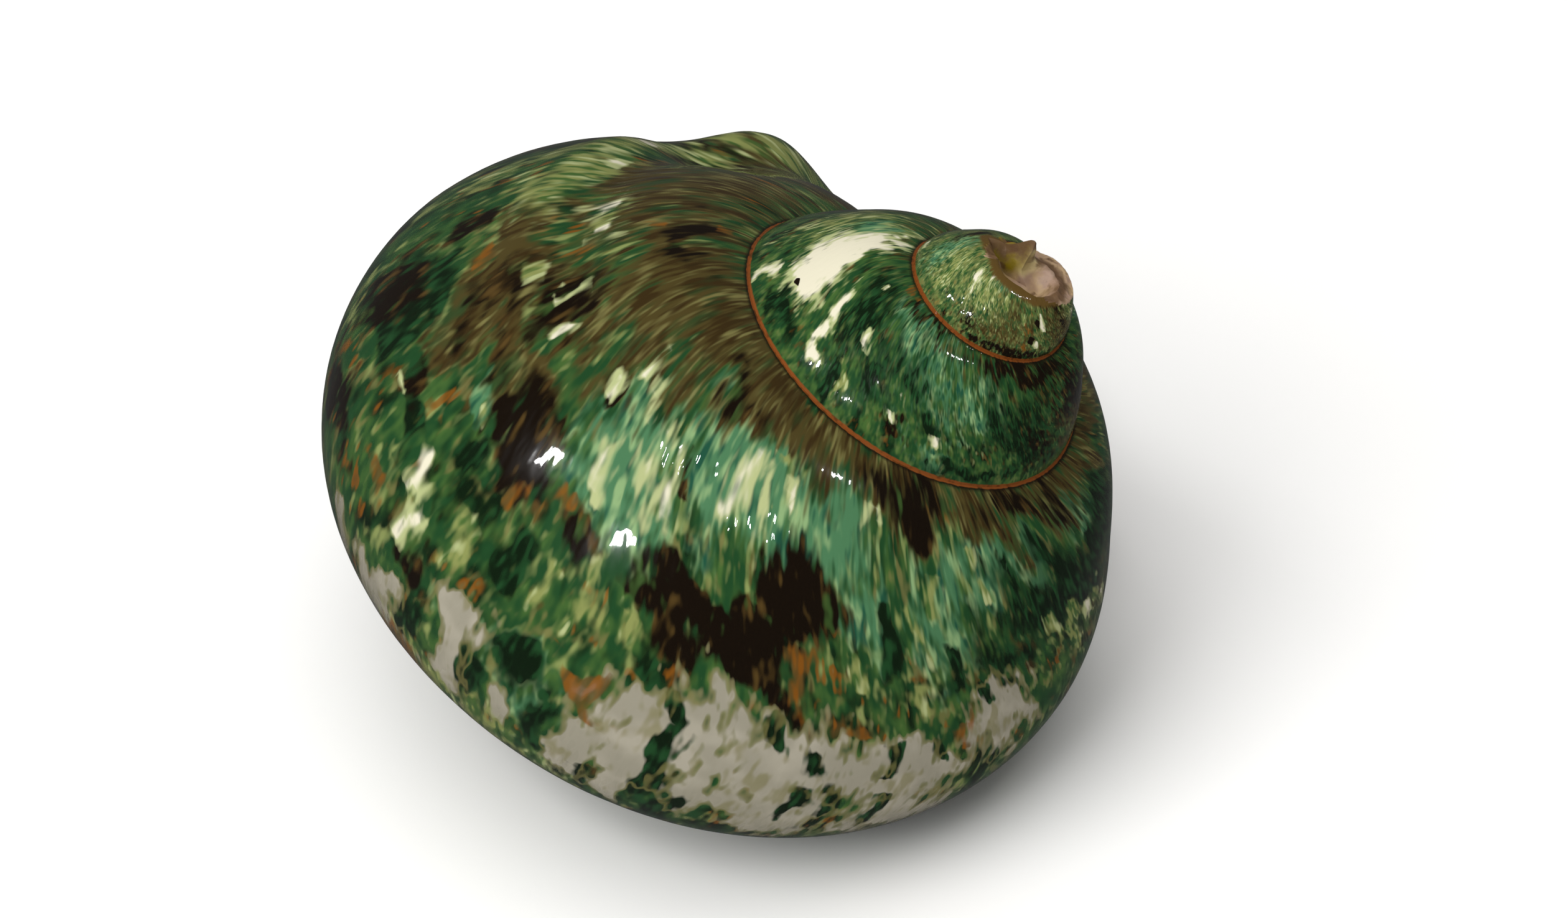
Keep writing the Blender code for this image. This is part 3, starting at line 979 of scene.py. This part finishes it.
class RollingTree:
    """The node tree that rolls the unrolled sheets up into the coil."""

    def __init__(self, relief: Relief, finishes: dict[Finish, bpy.types.Material]) -> None:
        """Build the tree.

        Args:
            relief: The fine relief's sizes.
            finishes: A material for each finish.
        """
        self.tree = bpy.data.node_groups.new("roll_up_shell", "GeometryNodeTree")
        self.values: dict[str, object] = {}
        interface = self.tree.interface
        interface.new_socket(name="Geometry", in_out="INPUT", socket_type="NodeSocketGeometry")
        interface.new_socket(name="Geometry", in_out="OUTPUT", socket_type="NodeSocketGeometry")
        for source in (SHELL, relief):
            for size in fields(source):
                self.add_input(size.name, "NodeSocketFloat", getattr(source, size.name))
        for finish, material in finishes.items():
            self.add_input(finish.name, "NodeSocketMaterial", material)
        self.given = add_node(self.tree, "NodeGroupInput")
        self.build()

    def add_input(self, name: str, kind: str, value: object) -> None:
        """Add a named input and keep the value that the modifier gives it."""
        socket = self.tree.interface.new_socket(name=name, in_out="INPUT", socket_type=kind)
        self.values[socket.identifier] = value

    def number(self, name: str) -> Number:
        """One of the tree's inputs, as a Number."""
        return Number(self.tree, self.given.outputs[name])

    def attribute(self, name: str, kind: str = "FLOAT") -> bpy.types.NodeSocket:
        """A named attribute of the mesh."""
        node = add_node(self.tree, "GeometryNodeInputNamedAttribute", {"Name": name}, data_type=kind)
        return node.outputs["Attribute"]

    def relief(self, turn: Number, angle: Number) -> Number:
        """Ribs along the growth lines and shallow dents, as a share of the turn's radius."""
        line = growth_line(turn, angle)
        heights = []
        for name, waves_around, seed, detail in RELIEF_NOISES:
            place = {"X": line * self.number(f"{name}s_per_turn"), "Y": angle * waves_around, "Z": seed}
            vector = add_node(self.tree, "ShaderNodeCombineXYZ", place)
            noise = add_node(self.tree, "ShaderNodeTexNoise",
                             {"Vector": vector.outputs[0], "Scale": 1.0, "Detail": detail})
            heights.append((Number(self.tree, noise.outputs[0]) - 0.5) * self.number(f"{name}_height"))
        return (heights[0] + heights[1]) * Number(self.tree, self.attribute("calm"))

    def break_tip(self, geometry: bpy.types.NodeSocket) -> bpy.types.NodeSocket:
        """Take off what stands above the ragged break, but for one spike.

        Args:
            geometry: The coil, with its tip up.

        Returns:
            The coil with its tip broken off, and "torn" as 1 where it is.
        """
        tree = self.tree
        position = add_node(tree, "GeometryNodeInputPosition")
        parts = add_node(tree, "ShaderNodeSeparateXYZ", {0: position.outputs[0]})
        x, y, z = (Number(tree, output) for output in parts.outputs)
        flat = add_node(tree, "ShaderNodeCombineXYZ", {"X": x, "Y": y})
        noise = add_node(tree, "ShaderNodeTexNoise",
                         {"Vector": flat.outputs[0], "Scale": BREAK_GRAINS_PER_METRE, "Detail": 3.0})
        grain = (Number(tree, noise.outputs[0]) - 0.5) * self.number("break_grain")
        aside = (x - self.number("spike_x")) / self.number("spike_width")
        behind = (y - self.number("spike_y")) / self.number("spike_width")
        spike = power_of_e(-(aside * aside + behind * behind)) * self.number("spike_height")
        past_hinge = y * BREAK_WAY[1] + x * BREAK_WAY[0] - BREAK_HINGE
        away = past_hinge.math("MAXIMUM", 0).math("MINIMUM", self.number("break_reach"))
        fall = self.number("break_depth") + away * self.number("break_slope") + y * self.number("break_lean")
        cut = grain + spike - fall
        torn = add_node(tree, "GeometryNodeStoreNamedAttribute",
                        {"Geometry": geometry, "Name": "torn", "Value": (z - cut).rise(0, TORN_STEP)},
                        data_type="FLOAT", domain="POINT")
        place = add_node(tree, "ShaderNodeCombineXYZ", {"X": x, "Y": y, "Z": z.math("MINIMUM", cut)})
        return add_node(tree, "GeometryNodeSetPosition",
                        {"Geometry": torn.outputs[0], "Position": place.outputs[0]}).outputs[0]

    def build(self) -> None:
        """Add the nodes, from the unrolled sheets to the finished mesh."""
        tree = self.tree
        position = add_node(tree, "GeometryNodeInputPosition")
        parts = add_node(tree, "ShaderNodeSeparateXYZ", {0: position.outputs[0]})
        turn, angle, drop = (Number(tree, output) for output in parts.outputs)
        coil = Coil(**{size.name: self.number(size.name) for size in fields(SHELL)})
        wall = coil.wall_radius(turn, angle) - drop + self.relief(turn, angle)
        x, y, z = coil.point(turn, angle, wall, Number(tree, self.attribute("gather")))
        place = add_node(tree, "ShaderNodeCombineXYZ", {"X": x, "Y": y, "Z": z})
        geometry = self.given.outputs["Geometry"]
        for name, kind in (*((name, "FLOAT_VECTOR") for name in CORNER_VECTORS), ("above", "FLOAT")):
            kept = add_node(tree, "GeometryNodeStoreNamedAttribute",
                            {"Geometry": geometry, "Name": name, "Value": self.attribute(name, kind)},
                            data_type=kind, domain="CORNER")
            geometry = kept.outputs[0]
        rolled = add_node(tree, "GeometryNodeSetPosition",
                          {"Geometry": geometry, "Selection": self.attribute("rolled"),
                           "Position": place.outputs[0]})
        broken = self.break_tip(rolled.outputs[0])
        turned = add_node(tree, "GeometryNodeTransform",
                          {"Geometry": broken, "Translation": FOOT, "Rotation": TURN_OVER.to_euler()})
        welded = add_node(tree, "GeometryNodeMergeByDistance",
                          {"Geometry": turned.outputs[0], "Distance": self.number("weld")})
        smooth = add_node(tree, "GeometryNodeSetShadeSmooth", {"Geometry": welded.outputs[0]})
        real = add_node(tree, "GeometryNodeRealizeInstances", {"Geometry": smooth.outputs[0]})
        geometry = real.outputs[0]
        choices = []
        for finish in Finish:
            chosen = add_node(tree, "FunctionNodeCompare",
                              {COMPARED: self.attribute("finish", "INT"), COMPARED_WITH: finish.value},
                              data_type="INT", operation="EQUAL")
            choices.append((finish, chosen.outputs[0]))
        choices.append((Finish.BROKEN, self.attribute("torn")))
        for finish, selection in choices:
            dressed = add_node(tree, "GeometryNodeSetMaterial",
                               {"Geometry": geometry, "Selection": selection,
                                "Material": self.given.outputs[finish.name]})
            geometry = dressed.outputs[0]
        add_node(tree, "NodeGroupOutput", {"Geometry": geometry})

    def roll_up(self, flat: bpy.types.Mesh, name: str) -> bpy.types.Object:
        """Roll a flat mesh up into a finished piece.

        Args:
            flat: The unrolled mesh.
            name: The piece's name.

        Returns:
            An object at the origin with a plain mesh and no modifier.
        """
        piece = bpy.data.objects.new(name, flat)
        bpy.context.scene.collection.objects.link(piece)
        modifier = piece.modifiers.new("roll_up", "NODES")
        modifier.node_group = self.tree
        for identifier, value in self.values.items():
            modifier[identifier] = value
        graph = bpy.context.evaluated_depsgraph_get()
        made = bpy.data.meshes.new_from_object(piece.evaluated_get(graph), depsgraph=graph)
        piece.modifiers.remove(modifier)
        piece.data = made
        made.name = name
        made.set_sharp_from_angle(angle=SHARP_ANGLE)
        bpy.data.meshes.remove(flat)
        return piece


class ShaderCraft:
    """A material in the making: its tree, its shader and the shell's growth coordinates."""

    def __init__(self, name: str, **constants: object) -> None:
        """Start a Principled material.

        Args:
            name: The material's name.
            constants: Shader inputs that are the same all over, with _ for spaces.
        """
        self.material = bpy.data.materials.new(name)
        self.material.use_nodes = True
        self.tree = self.material.node_tree
        self.shader = self.tree.nodes["Principled BSDF"]
        for key, value in constants.items():
            self.shader.inputs[key.replace("_", " ")].default_value = value
        self.turn, self.angle, self.below = self.split("place")
        self.line = growth_line(self.turn, self.angle)

    def split(self, name: str) -> list[Number]:
        """The three numbers of a vector attribute."""
        attribute = add_node(self.tree, "ShaderNodeAttribute", attribute_name=name)
        parts = add_node(self.tree, "ShaderNodeSeparateXYZ", {0: attribute.outputs["Vector"]})
        return [Number(self.tree, output) for output in parts.outputs]

    def streaks(self, width_mm: float, length_mm: float, seed: float, detail: float = 2.0) -> list[Number]:
        """Three unlike noises, stretched along the growth lines.

        Args:
            width_mm: Size across the growth lines.
            length_mm: Size along them.
            seed: Where in the noise they are read.
            detail: Finer steps of noise.

        Returns:
            Three numbers around 0.
        """
        across = self.line * (MM_PER_TURN / width_mm)
        along = self.angle * (MM_PER_RADIAN / length_mm)
        vector = add_node(self.tree, "ShaderNodeCombineXYZ", {"X": across, "Y": along, "Z": seed})
        noise = add_node(self.tree, "ShaderNodeTexNoise",
                         {"Vector": vector.outputs[0], "Scale": 1.0, "Detail": detail})
        parts = add_node(self.tree, "ShaderNodeSeparateColor", {0: noise.outputs["Color"]})
        return [Number(self.tree, output) - 0.5 for output in parts.outputs]

    def coat(self, colour: object, *coats: tuple) -> bpy.types.NodeSocket:
        """Paint coats over a colour, in order.

        Args:
            colour: The colour below: hex digits or a socket.
            coats: A colour and a mask for each coat. It covers where its mask is 1.

        Returns:
            The colour on top.
        """
        for over, mask in coats:
            ends = {MIXED_UNDER: colour, MIXED_OVER: over}
            inputs = {slot: hex_colour(c) if isinstance(c, str) else c for slot, c in ends.items()}
            mixed = add_node(self.tree, "ShaderNodeMix", {MIX_SHARE: mask, **inputs}, data_type="RGBA")
            colour = mixed.outputs[MIXED_COLOUR]
        return colour

    def finish(
        self, colour: bpy.types.NodeSocket, roughness: Number, relief: Number, relief_mm: float,
    ) -> bpy.types.Material:
        """Link what changes over the surface to the shader.

        Args:
            colour: The base colour.
            roughness: The roughness.
            relief: A height from about -0.5 to 0.5.
            relief_mm: What a height of 1 is.

        Returns:
            The material.
        """
        bump = add_node(self.tree, "ShaderNodeBump",
                        {"Strength": 1.0, "Distance": relief_mm / 1000, "Height": relief})
        self.tree.links.new(colour, self.shader.inputs["Base Color"])
        self.tree.links.new(roughness.socket, self.shader.inputs["Roughness"])
        self.tree.links.new(bump.outputs[0], self.shader.inputs["Normal"])
        return self.material


class MarkedCraft(ShaderCraft):
    """A material in the making with the shell's markings, and noises that fray them."""

    def __init__(self, name: str, **constants: object) -> None:
        """Start a Principled material.

        Args:
            name: The material's name.
            constants: Shader inputs that are the same all over, with _ for spaces.
        """
        super().__init__(name, **constants)
        broad = self.streaks(2.8, 5.0, 0.0)
        fine = self.streaks(1.3, 2.8, 11.0, 1.0)
        hair = self.streaks(0.6, 2.0, 23.0, 0.0)
        blotch = self.streaks(5.0, 5.0, 37.0)
        self.noises = (broad, fine, hair, blotch)
        self.ragged = broad[0] * 1.8 + fine[1] * 1.6 + hair[0] * 0.9
        self.frayed = broad[1] * 1.5 + fine[0] * 1.8 + hair[1] * 0.9
        self.marks = dict(zip(Layer, self.split("marks_a") + self.split("marks_b") + self.split("marks_c")))
        pearl = self.marks[Layer.NACRE] + broad[0] * 1.5 + fine[2] * 1.3 + hair[2] * 0.6
        self.worn = pearl.rise(-0.1, 0.4)


@dataclass(frozen=True)
class PolishedShell:
    """Ground and waxed turban shell: streaky greens under a wet-looking gloss, with pearl windows."""

    deep_green: str = "1c4021"
    mid_green: str = "405e2c"
    pale_green: str = "8b9558"
    black_green: str = "0b1a0b"
    teal: str = "46724e"
    teal_light: str = "82a06e"
    teal_deep: str = "1c4a37"
    olive: str = "463c1d"
    olive_light: str = "6f6a3e"
    black: str = "120b05"
    brown: str = "30220d"
    brown_light: str = "56421f"
    nacre: str = "8f8a7a"
    nacre_light: str = "a09a8a"
    lime: str = "81884e"
    cream: str = "d8d2ba"
    cream_green: str = "a9b07c"
    orange: str = "7b4a13"
    # Dark brown-black of the small pits, also used for the painted shade in the suture's groove.
    pit_and_groove_shade: str = "160d06"
    seam: str = "7b431c"
    seam_mm: float = 0.32
    edge_mm: float = 0.18
    # How far below the suture the painted groove shade reaches.
    groove_shade_mm: float = 0.5
    torn_mm: float = 0.9
    bead_mm: float = 0.35
    relief_mm: float = 0.03
    middle_turns: tuple[float, float] = (-2.1, -0.9)
    tip_turn: float = -2.0
    torn_turn: float = -2.2

    def ground(self, craft: MarkedCraft) -> bpy.types.NodeSocket:
        """The streaky green below all markings, calmer on the spire's middle turns."""
        broad, fine, hair, blotch = craft.noises
        low, high = self.middle_turns
        calm = 1 - craft.turn.rise(high, high - 0.2) * craft.turn.rise(low, low + 0.15) * 0.65
        tip = craft.turn.rise(self.tip_turn + 0.05, self.tip_turn - 0.05)
        return craft.coat(
            self.deep_green,
            (self.mid_green, (broad[0] + fine[0] + hair[1] * 0.4).rise(-0.2, 0.3)),
            (self.black_green, (broad[1] + blotch[1] * 0.6 + fine[1] * 0.6).rise(-0.05, 0.3)),
            (self.pale_green, (broad[2] * 0.8 + fine[2] + hair[0] * 0.4).rise(0.05, 0.36) * calm * 0.8),
            (self.olive_light, (fine[0] + blotch[2] + hair[2] * 0.4).rise(0.1, 0.32) * calm * 0.7),
            (self.brown_light, (blotch[0] + fine[1] * 0.8).rise(0.15, 0.34) * 0.7),
            (self.orange, (fine[1] * 1.2 + blotch[1] + hair[0] * 0.8).rise(0.24, 0.46) * calm * 0.8),
            (self.lime, tip * (fine[1] + blotch[0]).rise(-0.2, 0.3) * 0.5),
        )

    def shade(self, craft: MarkedCraft) -> bpy.types.NodeSocket:
        """The mottled black-green of the darkest streaks."""
        _, fine, hair, _ = craft.noises
        return craft.coat(self.black_green, (self.deep_green, (fine[2] + hair[0]).rise(-0.1, 0.35)))

    def stains(self, craft: MarkedCraft, colour: bpy.types.NodeSocket) -> bpy.types.NodeSocket:
        """Add the teal, olive, black-green and near-black patches."""
        broad, fine, hair, blotch = craft.noises
        dark = craft.marks[Layer.DARK]
        teal = craft.coat(
            self.teal,
            (self.teal_light, (broad[1] + fine[0] + hair[0] * 0.4).rise(-0.05, 0.25)),
            (self.teal_deep, (fine[2] + broad[0] * 0.6 + hair[1] * 0.4).rise(0.0, 0.25)),
        )
        olive = craft.coat(
            self.olive,
            (self.olive_light, (hair[0] * 0.7 + fine[1] * 0.7 + blotch[2] * 0.6).rise(-0.02, 0.3)),
            (self.brown, (broad[1] + fine[2] * 0.8 + hair[2] * 0.6).rise(-0.05, 0.2) * 0.85),
            (self.deep_green, (broad[2] + blotch[1] * 0.7).rise(0.04, 0.26) * 0.7),
        )
        rusty = fine[2] + blotch[0] * 0.8 + hair[1] * 0.5 - dark * 0.1
        black = craft.coat(
            self.black,
            (self.brown_light, rusty.rise(0.0, 0.35) * 0.8),
            (self.mid_green, (broad[2] + fine[1] * 0.8 - dark * 0.08).rise(0.08, 0.3) * 0.6),
        )
        return craft.coat(
            colour,
            (teal, (craft.marks[Layer.TEAL] + craft.ragged).rise(-0.25, 0.55)),
            (olive, (craft.marks[Layer.OLIVE] + craft.frayed).rise(-0.25, 0.5)),
            (self.shade(craft), (craft.marks[Layer.BLACK_GREEN] + craft.ragged * 0.8).rise(-0.05, 0.6)),
            (black, (dark + craft.frayed).rise(-0.1, 0.6)),
        )

    def windows(self, craft: MarkedCraft, colour: bpy.types.NodeSocket) -> bpy.types.NodeSocket:
        """Add the places ground down to the pearl, each with an olive edge."""
        broad, fine, hair, blotch = craft.noises
        drips = craft.marks[Layer.BLACK_GREEN] + fine[1] * 1.4 + hair[0] * 0.8
        pearl = craft.coat(
            self.nacre,
            (self.nacre_light, (blotch[0] + broad[1] * 0.5).rise(-0.1, 0.2)),
            (self.olive_light, (fine[0] + blotch[1] + hair[2] * 0.5).rise(0.05, 0.36) * 0.6),
            (self.shade(craft), drips.rise(0.05, 0.5)),
        )
        edge = craft.worn * (1 - craft.worn) * 2.4
        return craft.coat(colour, (pearl, craft.worn), (self.olive_light, edge))

    def pale_marks(self, craft: MarkedCraft, colour: bpy.types.NodeSocket) -> bpy.types.NodeSocket:
        """Add the lime, cream and rusty streaks and the small pits."""
        broad, fine, hair, blotch = craft.noises
        pale = craft.marks[Layer.CREAM]
        lime = craft.coat(
            self.mid_green,
            (self.lime, (fine[1] + hair[2] * 0.9).rise(-0.2, 0.1)),
            (self.cream_green, (broad[0] + hair[1] * 0.8).rise(0.05, 0.3)),
        )
        greenish = (fine[0] * 1.6 + blotch[2] + 0.9 - pale).rise(-0.1, 0.5)
        cream = craft.coat(self.cream, (self.cream_green, greenish))
        rust = craft.coat(self.brown_light, (self.orange, (fine[2] + hair[1] * 1.5).rise(-0.3, 0.3)))
        return craft.coat(
            colour,
            (lime, (craft.marks[Layer.LIME] + craft.frayed).rise(0.0, 0.85) * 0.95),
            (cream, (pale + fine[2] * 1.8 + broad[2] * 1.2 + hair[0] * 0.9).rise(0.0, 0.85)),
            (rust, (craft.marks[Layer.ORANGE] + fine[1] * 1.8 + hair[0]).rise(0.1, 0.8) * 0.85),
            (self.pit_and_groove_shade, (craft.marks[Layer.PIT] + fine[0] * 0.6).rise(0.0, 0.25)),
        )

    def seams(self, craft: MarkedCraft, colour: bpy.types.NodeSocket) -> bpy.types.NodeSocket:
        """Add the rusty line of the suture, painted shade in the groove just below it, and the bare edge
        below the break.
        """
        broad, fine, _, _ = craft.noises
        attribute = add_node(craft.tree, "ShaderNodeAttribute", attribute_name="above")
        above = Number(craft.tree, attribute.outputs["Fac"])
        wavy = fine[0] * 0.15
        below = craft.below + wavy
        rusty = craft.coat(self.seam, (self.brown, (fine[0] + broad[1]).rise(0.0, 0.3) * 0.6))
        near_tip = craft.turn.rise(self.torn_turn, self.torn_turn - 0.04)
        torn_edge = near_tip * (craft.below + wavy * 3).rise(self.torn_mm, self.torn_mm - 0.4)
        return craft.coat(
            colour,
            # Painted shade: a near-black band just below the suture's rusty line stands in for the groove's
            # shadow.
            (self.pit_and_groove_shade, below.rise(self.groove_shade_mm, self.edge_mm - 0.03) * 0.9),
            (rusty, (above + wavy).rise(self.seam_mm, self.seam_mm * 0.6)),
            (rusty, below.rise(self.edge_mm, self.edge_mm - 0.08)),
            (self.brown_light, torn_edge),
        )

    def ripple(self, craft: MarkedCraft) -> None:
        """Ripple the clear coat along the shoulder, so that a lamp shows there as beads of light."""
        fine = craft.noises[1]
        ridge = craft.angle.rise(degrees(54), degrees(64)) * craft.angle.rise(degrees(78), degrees(70))
        beads = fine[1] * (ridge * craft.turn.rise(-0.8, -0.6) * 0.9 + 0.08)
        gloss = add_node(craft.tree, "ShaderNodeBump",
                         {"Strength": 1.0, "Distance": self.bead_mm / 1000, "Height": beads})
        craft.tree.links.new(gloss.outputs[0], craft.shader.inputs["Coat Normal"])

    def make(self) -> bpy.types.Material:
        """Build the material."""
        craft = MarkedCraft(
            "polished_shell", IOR=1.45, Specular_IOR_Level=0.03,
            Coat_Weight=1.0, Coat_Roughness=0.03, Coat_IOR=1.45,
        )
        colour = self.ground(craft)
        for paint in (self.stains, self.windows, self.pale_marks, self.seams):
            colour = paint(craft, colour)
        self.ripple(craft)
        _, fine, hair, _ = craft.noises
        roughness = 0.2 + hair[2] * 0.2 + craft.worn * 0.08
        return craft.finish(colour, roughness, hair[0] * 0.4 + fine[0] * 0.6, self.relief_mm)


@dataclass(frozen=True)
class Nacre:
    """Mother of pearl, grown smooth: silvery, with broad soft bands of pink and green."""

    silver: str = "cfcac2"
    pink: str = "d6bcb6"
    green: str = "b7c7ba"
    relief_mm: float = 0.03

    def make(self) -> bpy.types.Material:
        """Build the material."""
        craft = ShaderCraft("nacre_lining", Metallic=0.25, IOR=1.6, Coat_Weight=0.6, Coat_Roughness=0.12)
        broad = craft.streaks(9.0, 14.0, 5.0)
        fine = craft.streaks(1.2, 10.0, 9.0)
        colour = craft.coat(
            self.silver,
            (self.pink, (broad[0] + fine[0] * 0.3).rise(-0.02, 0.2)),
            (self.green, (broad[1] + fine[1] * 0.3).rise(0.02, 0.22)),
        )
        return craft.finish(colour, 0.22 + fine[2] * 0.2, fine[0], self.relief_mm)


@dataclass(frozen=True)
class LipEdge:
    """The ground edge of the lip: fine layers of white and pearl, cut across."""

    white: str = "d8d2c4"
    pearl: str = "b5aba4"
    relief_mm: float = 0.05

    def make(self) -> bpy.types.Material:
        """Build the material."""
        craft = ShaderCraft("lip_edge", IOR=1.53, Coat_Weight=0.5, Coat_Roughness=0.15)
        fine = craft.streaks(1.0, 5.0, 3.0)
        colour = craft.coat(self.white, (self.pearl, (fine[0] + 0.05).rise(-0.1, 0.2)))
        return craft.finish(colour, 0.35 + fine[1] * 0.2, fine[2], self.relief_mm)


@dataclass(frozen=True)
class BrokenShell:
    """Shell broken across: chalky, pinkish beige, with random brown stains, and painted shade in brown round
    the steep wall of the hollow.
    """

    beige: str = "a98f6b"
    pink: str = "977c68"
    brown: str = "5a4028"
    yellow: str = "7a680f"
    cream: str = "cbb987"
    yellow_at: tuple = (-0.0026, 0.0023, -0.0048)
    yellow_far: float = 0.0030
    cream_at: tuple = (-0.0008, 0.0012, -0.0042)
    cream_far: float = 0.0016
    specks_per_metre: float = 900.0
    # How far in from the break's edge the painted brown shade on the hollow's wall reaches.
    shaded_wall_mm: float = 1.0
    relief_mm: float = 0.15

    def near(self, craft: ShaderCraft, place: bpy.types.NodeSocket, at: tuple, far: float) -> Number:
        """1 close to a place of the coil's own frame, and 0 beyond a distance."""
        middle = FOOT + TURN_OVER @ Vector(at)
        away = add_node(craft.tree, "ShaderNodeVectorMath", {0: place, 1: middle}, operation="DISTANCE")
        return Number(craft.tree, away.outputs["Value"]).rise(far, far * 0.6)

    def make(self) -> bpy.types.Material:
        """Build the material."""
        craft = ShaderCraft("broken_shell", IOR=1.5)
        place = add_node(craft.tree, "ShaderNodeTexCoord").outputs["Object"]
        noise = add_node(craft.tree, "ShaderNodeTexNoise",
                         {"Vector": place, "Scale": self.specks_per_metre, "Detail": 3.0})
        parts = add_node(craft.tree, "ShaderNodeSeparateColor", {0: noise.outputs["Color"]})
        speck, stain, grain = (Number(craft.tree, output) - 0.5 for output in parts.outputs)
        colour = craft.coat(
            self.beige,
            (self.pink, speck.rise(-0.15, 0.15)),
            (self.cream, self.near(craft, place, self.cream_at, self.cream_far) * (speck + 0.9)),
            (self.yellow, self.near(craft, place, self.yellow_at, self.yellow_far) * (speck + 0.9)),
            (self.brown, stain.rise(0.08, 0.2) * 0.8),
            # Painted shade: brown near the break's edge, over the steep wall of the hollow, standing in for
            # its shadow.
            (self.brown, (craft.below + speck * 2.0).rise(self.shaded_wall_mm, self.shaded_wall_mm * 0.3) * 0.9),
        )
        return craft.finish(colour, 0.55 + grain * 0.3, speck, self.relief_mm)


@dataclass(frozen=True)
class Lamp:
    """A square lamp that faces the shell. A highlight shows in the gloss alone, a soft lamp never."""

    name: str
    towards: tuple[float, float, float]
    away: float
    size: float
    watts: float
    highlight: bool = False

    def add(self) -> None:
        """Add the lamp to the scene."""
        data = bpy.data.lights.new(self.name, "AREA")
        data.size = self.size
        data.energy = self.watts
        lamp = bpy.data.objects.new(self.name, data)
        direction = Vector(self.towards).normalized()
        lamp.location = direction * self.away
        lamp.rotation_mode = "QUATERNION"
        lamp.rotation_quaternion = direction.to_track_quat("Z", "Y")
        lamp.visible_glossy = self.highlight
        lamp.visible_diffuse = not self.highlight
        bpy.context.scene.collection.objects.link(lamp)


LAMPS = (
    Lamp("key_0", (-0.59, -0.18, 0.78), 0.9, 0.045, 2.2, True),
    Lamp("key_1", (-0.45, -0.61, 0.66), 0.9, 0.045, 2.2, True),
    Lamp("second", (0.47, -0.23, 0.85), 0.9, 0.035, 1.0, True),
    Lamp("overhead", (-0.1, -0.1, 1.0), 1.6, 1.8, 22.0),
    Lamp("side", (-0.55, -0.45, 0.7), 1.5, 1.0, 15.0),
    Lamp("fill_0", (-1.0, -0.6, 0.5), 1.8, 1.2, 4.0),
    Lamp("fill_1", (0.9, -0.9, 0.5), 1.8, 1.2, 4.0),
    Lamp("fill_2", (0.8, 0.9, 0.5), 1.8, 1.2, 4.0),
    Lamp("fill_3", (-0.7, 1.0, 0.5), 1.8, 1.2, 4.0),
)


@dataclass(frozen=True)
class Studio:
    """A pale floor, the lamps, a dim sky and the camera."""

    floor_colour: str = "f8f7f5"
    floor_roughness: float = 0.9
    floor_size: float = 6.0
    sky: float = 0.05
    lens_mm: float = 85.0
    sensor_mm: float = 36.0
    camera_in_coil: tuple[float, float, float] = (-0.8226, -0.6245, 10.829)
    camera_turn: tuple[float, float, float] = (-0.717, 0.523, -0.302)

    def camera(self) -> bpy.types.Object:
        """Place the camera where the photograph was taken from."""
        turn = Vector(self.camera_turn)
        view = Matrix.Rotation(turn.length, 3, turn.normalized())
        data = bpy.data.cameras.new("camera")
        data.lens = self.lens_mm
        data.sensor_width = self.sensor_mm
        camera = bpy.data.objects.new("camera", data)
        camera.rotation_mode = "QUATERNION"
        out_of_view = TURN_OVER @ view.transposed()
        camera.rotation_quaternion = out_of_view.to_quaternion()
        camera.location = FOOT + out_of_view @ Vector(self.camera_in_coil) * SHELL.whorl_radius
        bpy.context.scene.collection.objects.link(camera)
        bpy.context.scene.camera = camera
        return camera

    def floor(self) -> bpy.types.Object:
        """Add the floor that the shell lies on, of matt paper that gives no reflection."""
        bpy.ops.mesh.primitive_plane_add(size=self.floor_size)
        floor = bpy.context.object
        floor.name = "floor"
        material = bpy.data.materials.new("matt_paper")
        material.use_nodes = True
        shader = material.node_tree.nodes["Principled BSDF"]
        shader.inputs["Base Color"].default_value = hex_colour(self.floor_colour)
        shader.inputs["Roughness"].default_value = self.floor_roughness
        floor.data.materials.append(material)
        floor.visible_glossy = False
        return floor

    def light(self) -> None:
        """Add the lamps and a dim sky."""
        for lamp in LAMPS:
            lamp.add()
        world = bpy.data.worlds.new("studio")
        world.use_nodes = True
        background = world.node_tree.nodes["Background"]
        background.inputs["Color"].default_value = (1, 1, 1, 1)
        background.inputs["Strength"].default_value = self.sky
        bpy.context.scene.world = world
        bpy.context.scene.view_settings.view_transform = "Standard"


def main() -> None:
    """Build the shell and the studio, and report each piece."""
    log = logging.getLogger("turban_shell")
    finishes = {
        Finish.POLISHED: PolishedShell().make(),
        Finish.LINING: Nacre().make(),
        Finish.LIP: LipEdge().make(),
        Finish.BROKEN: BrokenShell().make(),
    }
    flat = unrolled_mesh(ShellSurface().sheets(), all_marks())
    shell = RollingTree(Relief(), finishes).roll_up(flat, "turban_shell")
    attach(shell, "root")
    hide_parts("shell")
    log.info("%s: %d points, %d faces", shell.name, len(shell.data.vertices), len(shell.data.polygons))
    studio = Studio()
    studio.camera()
    studio.floor()
    studio.light()


if __name__ == "__main__":
    logging.basicConfig(level=logging.INFO, format="%(message)s")
    main()
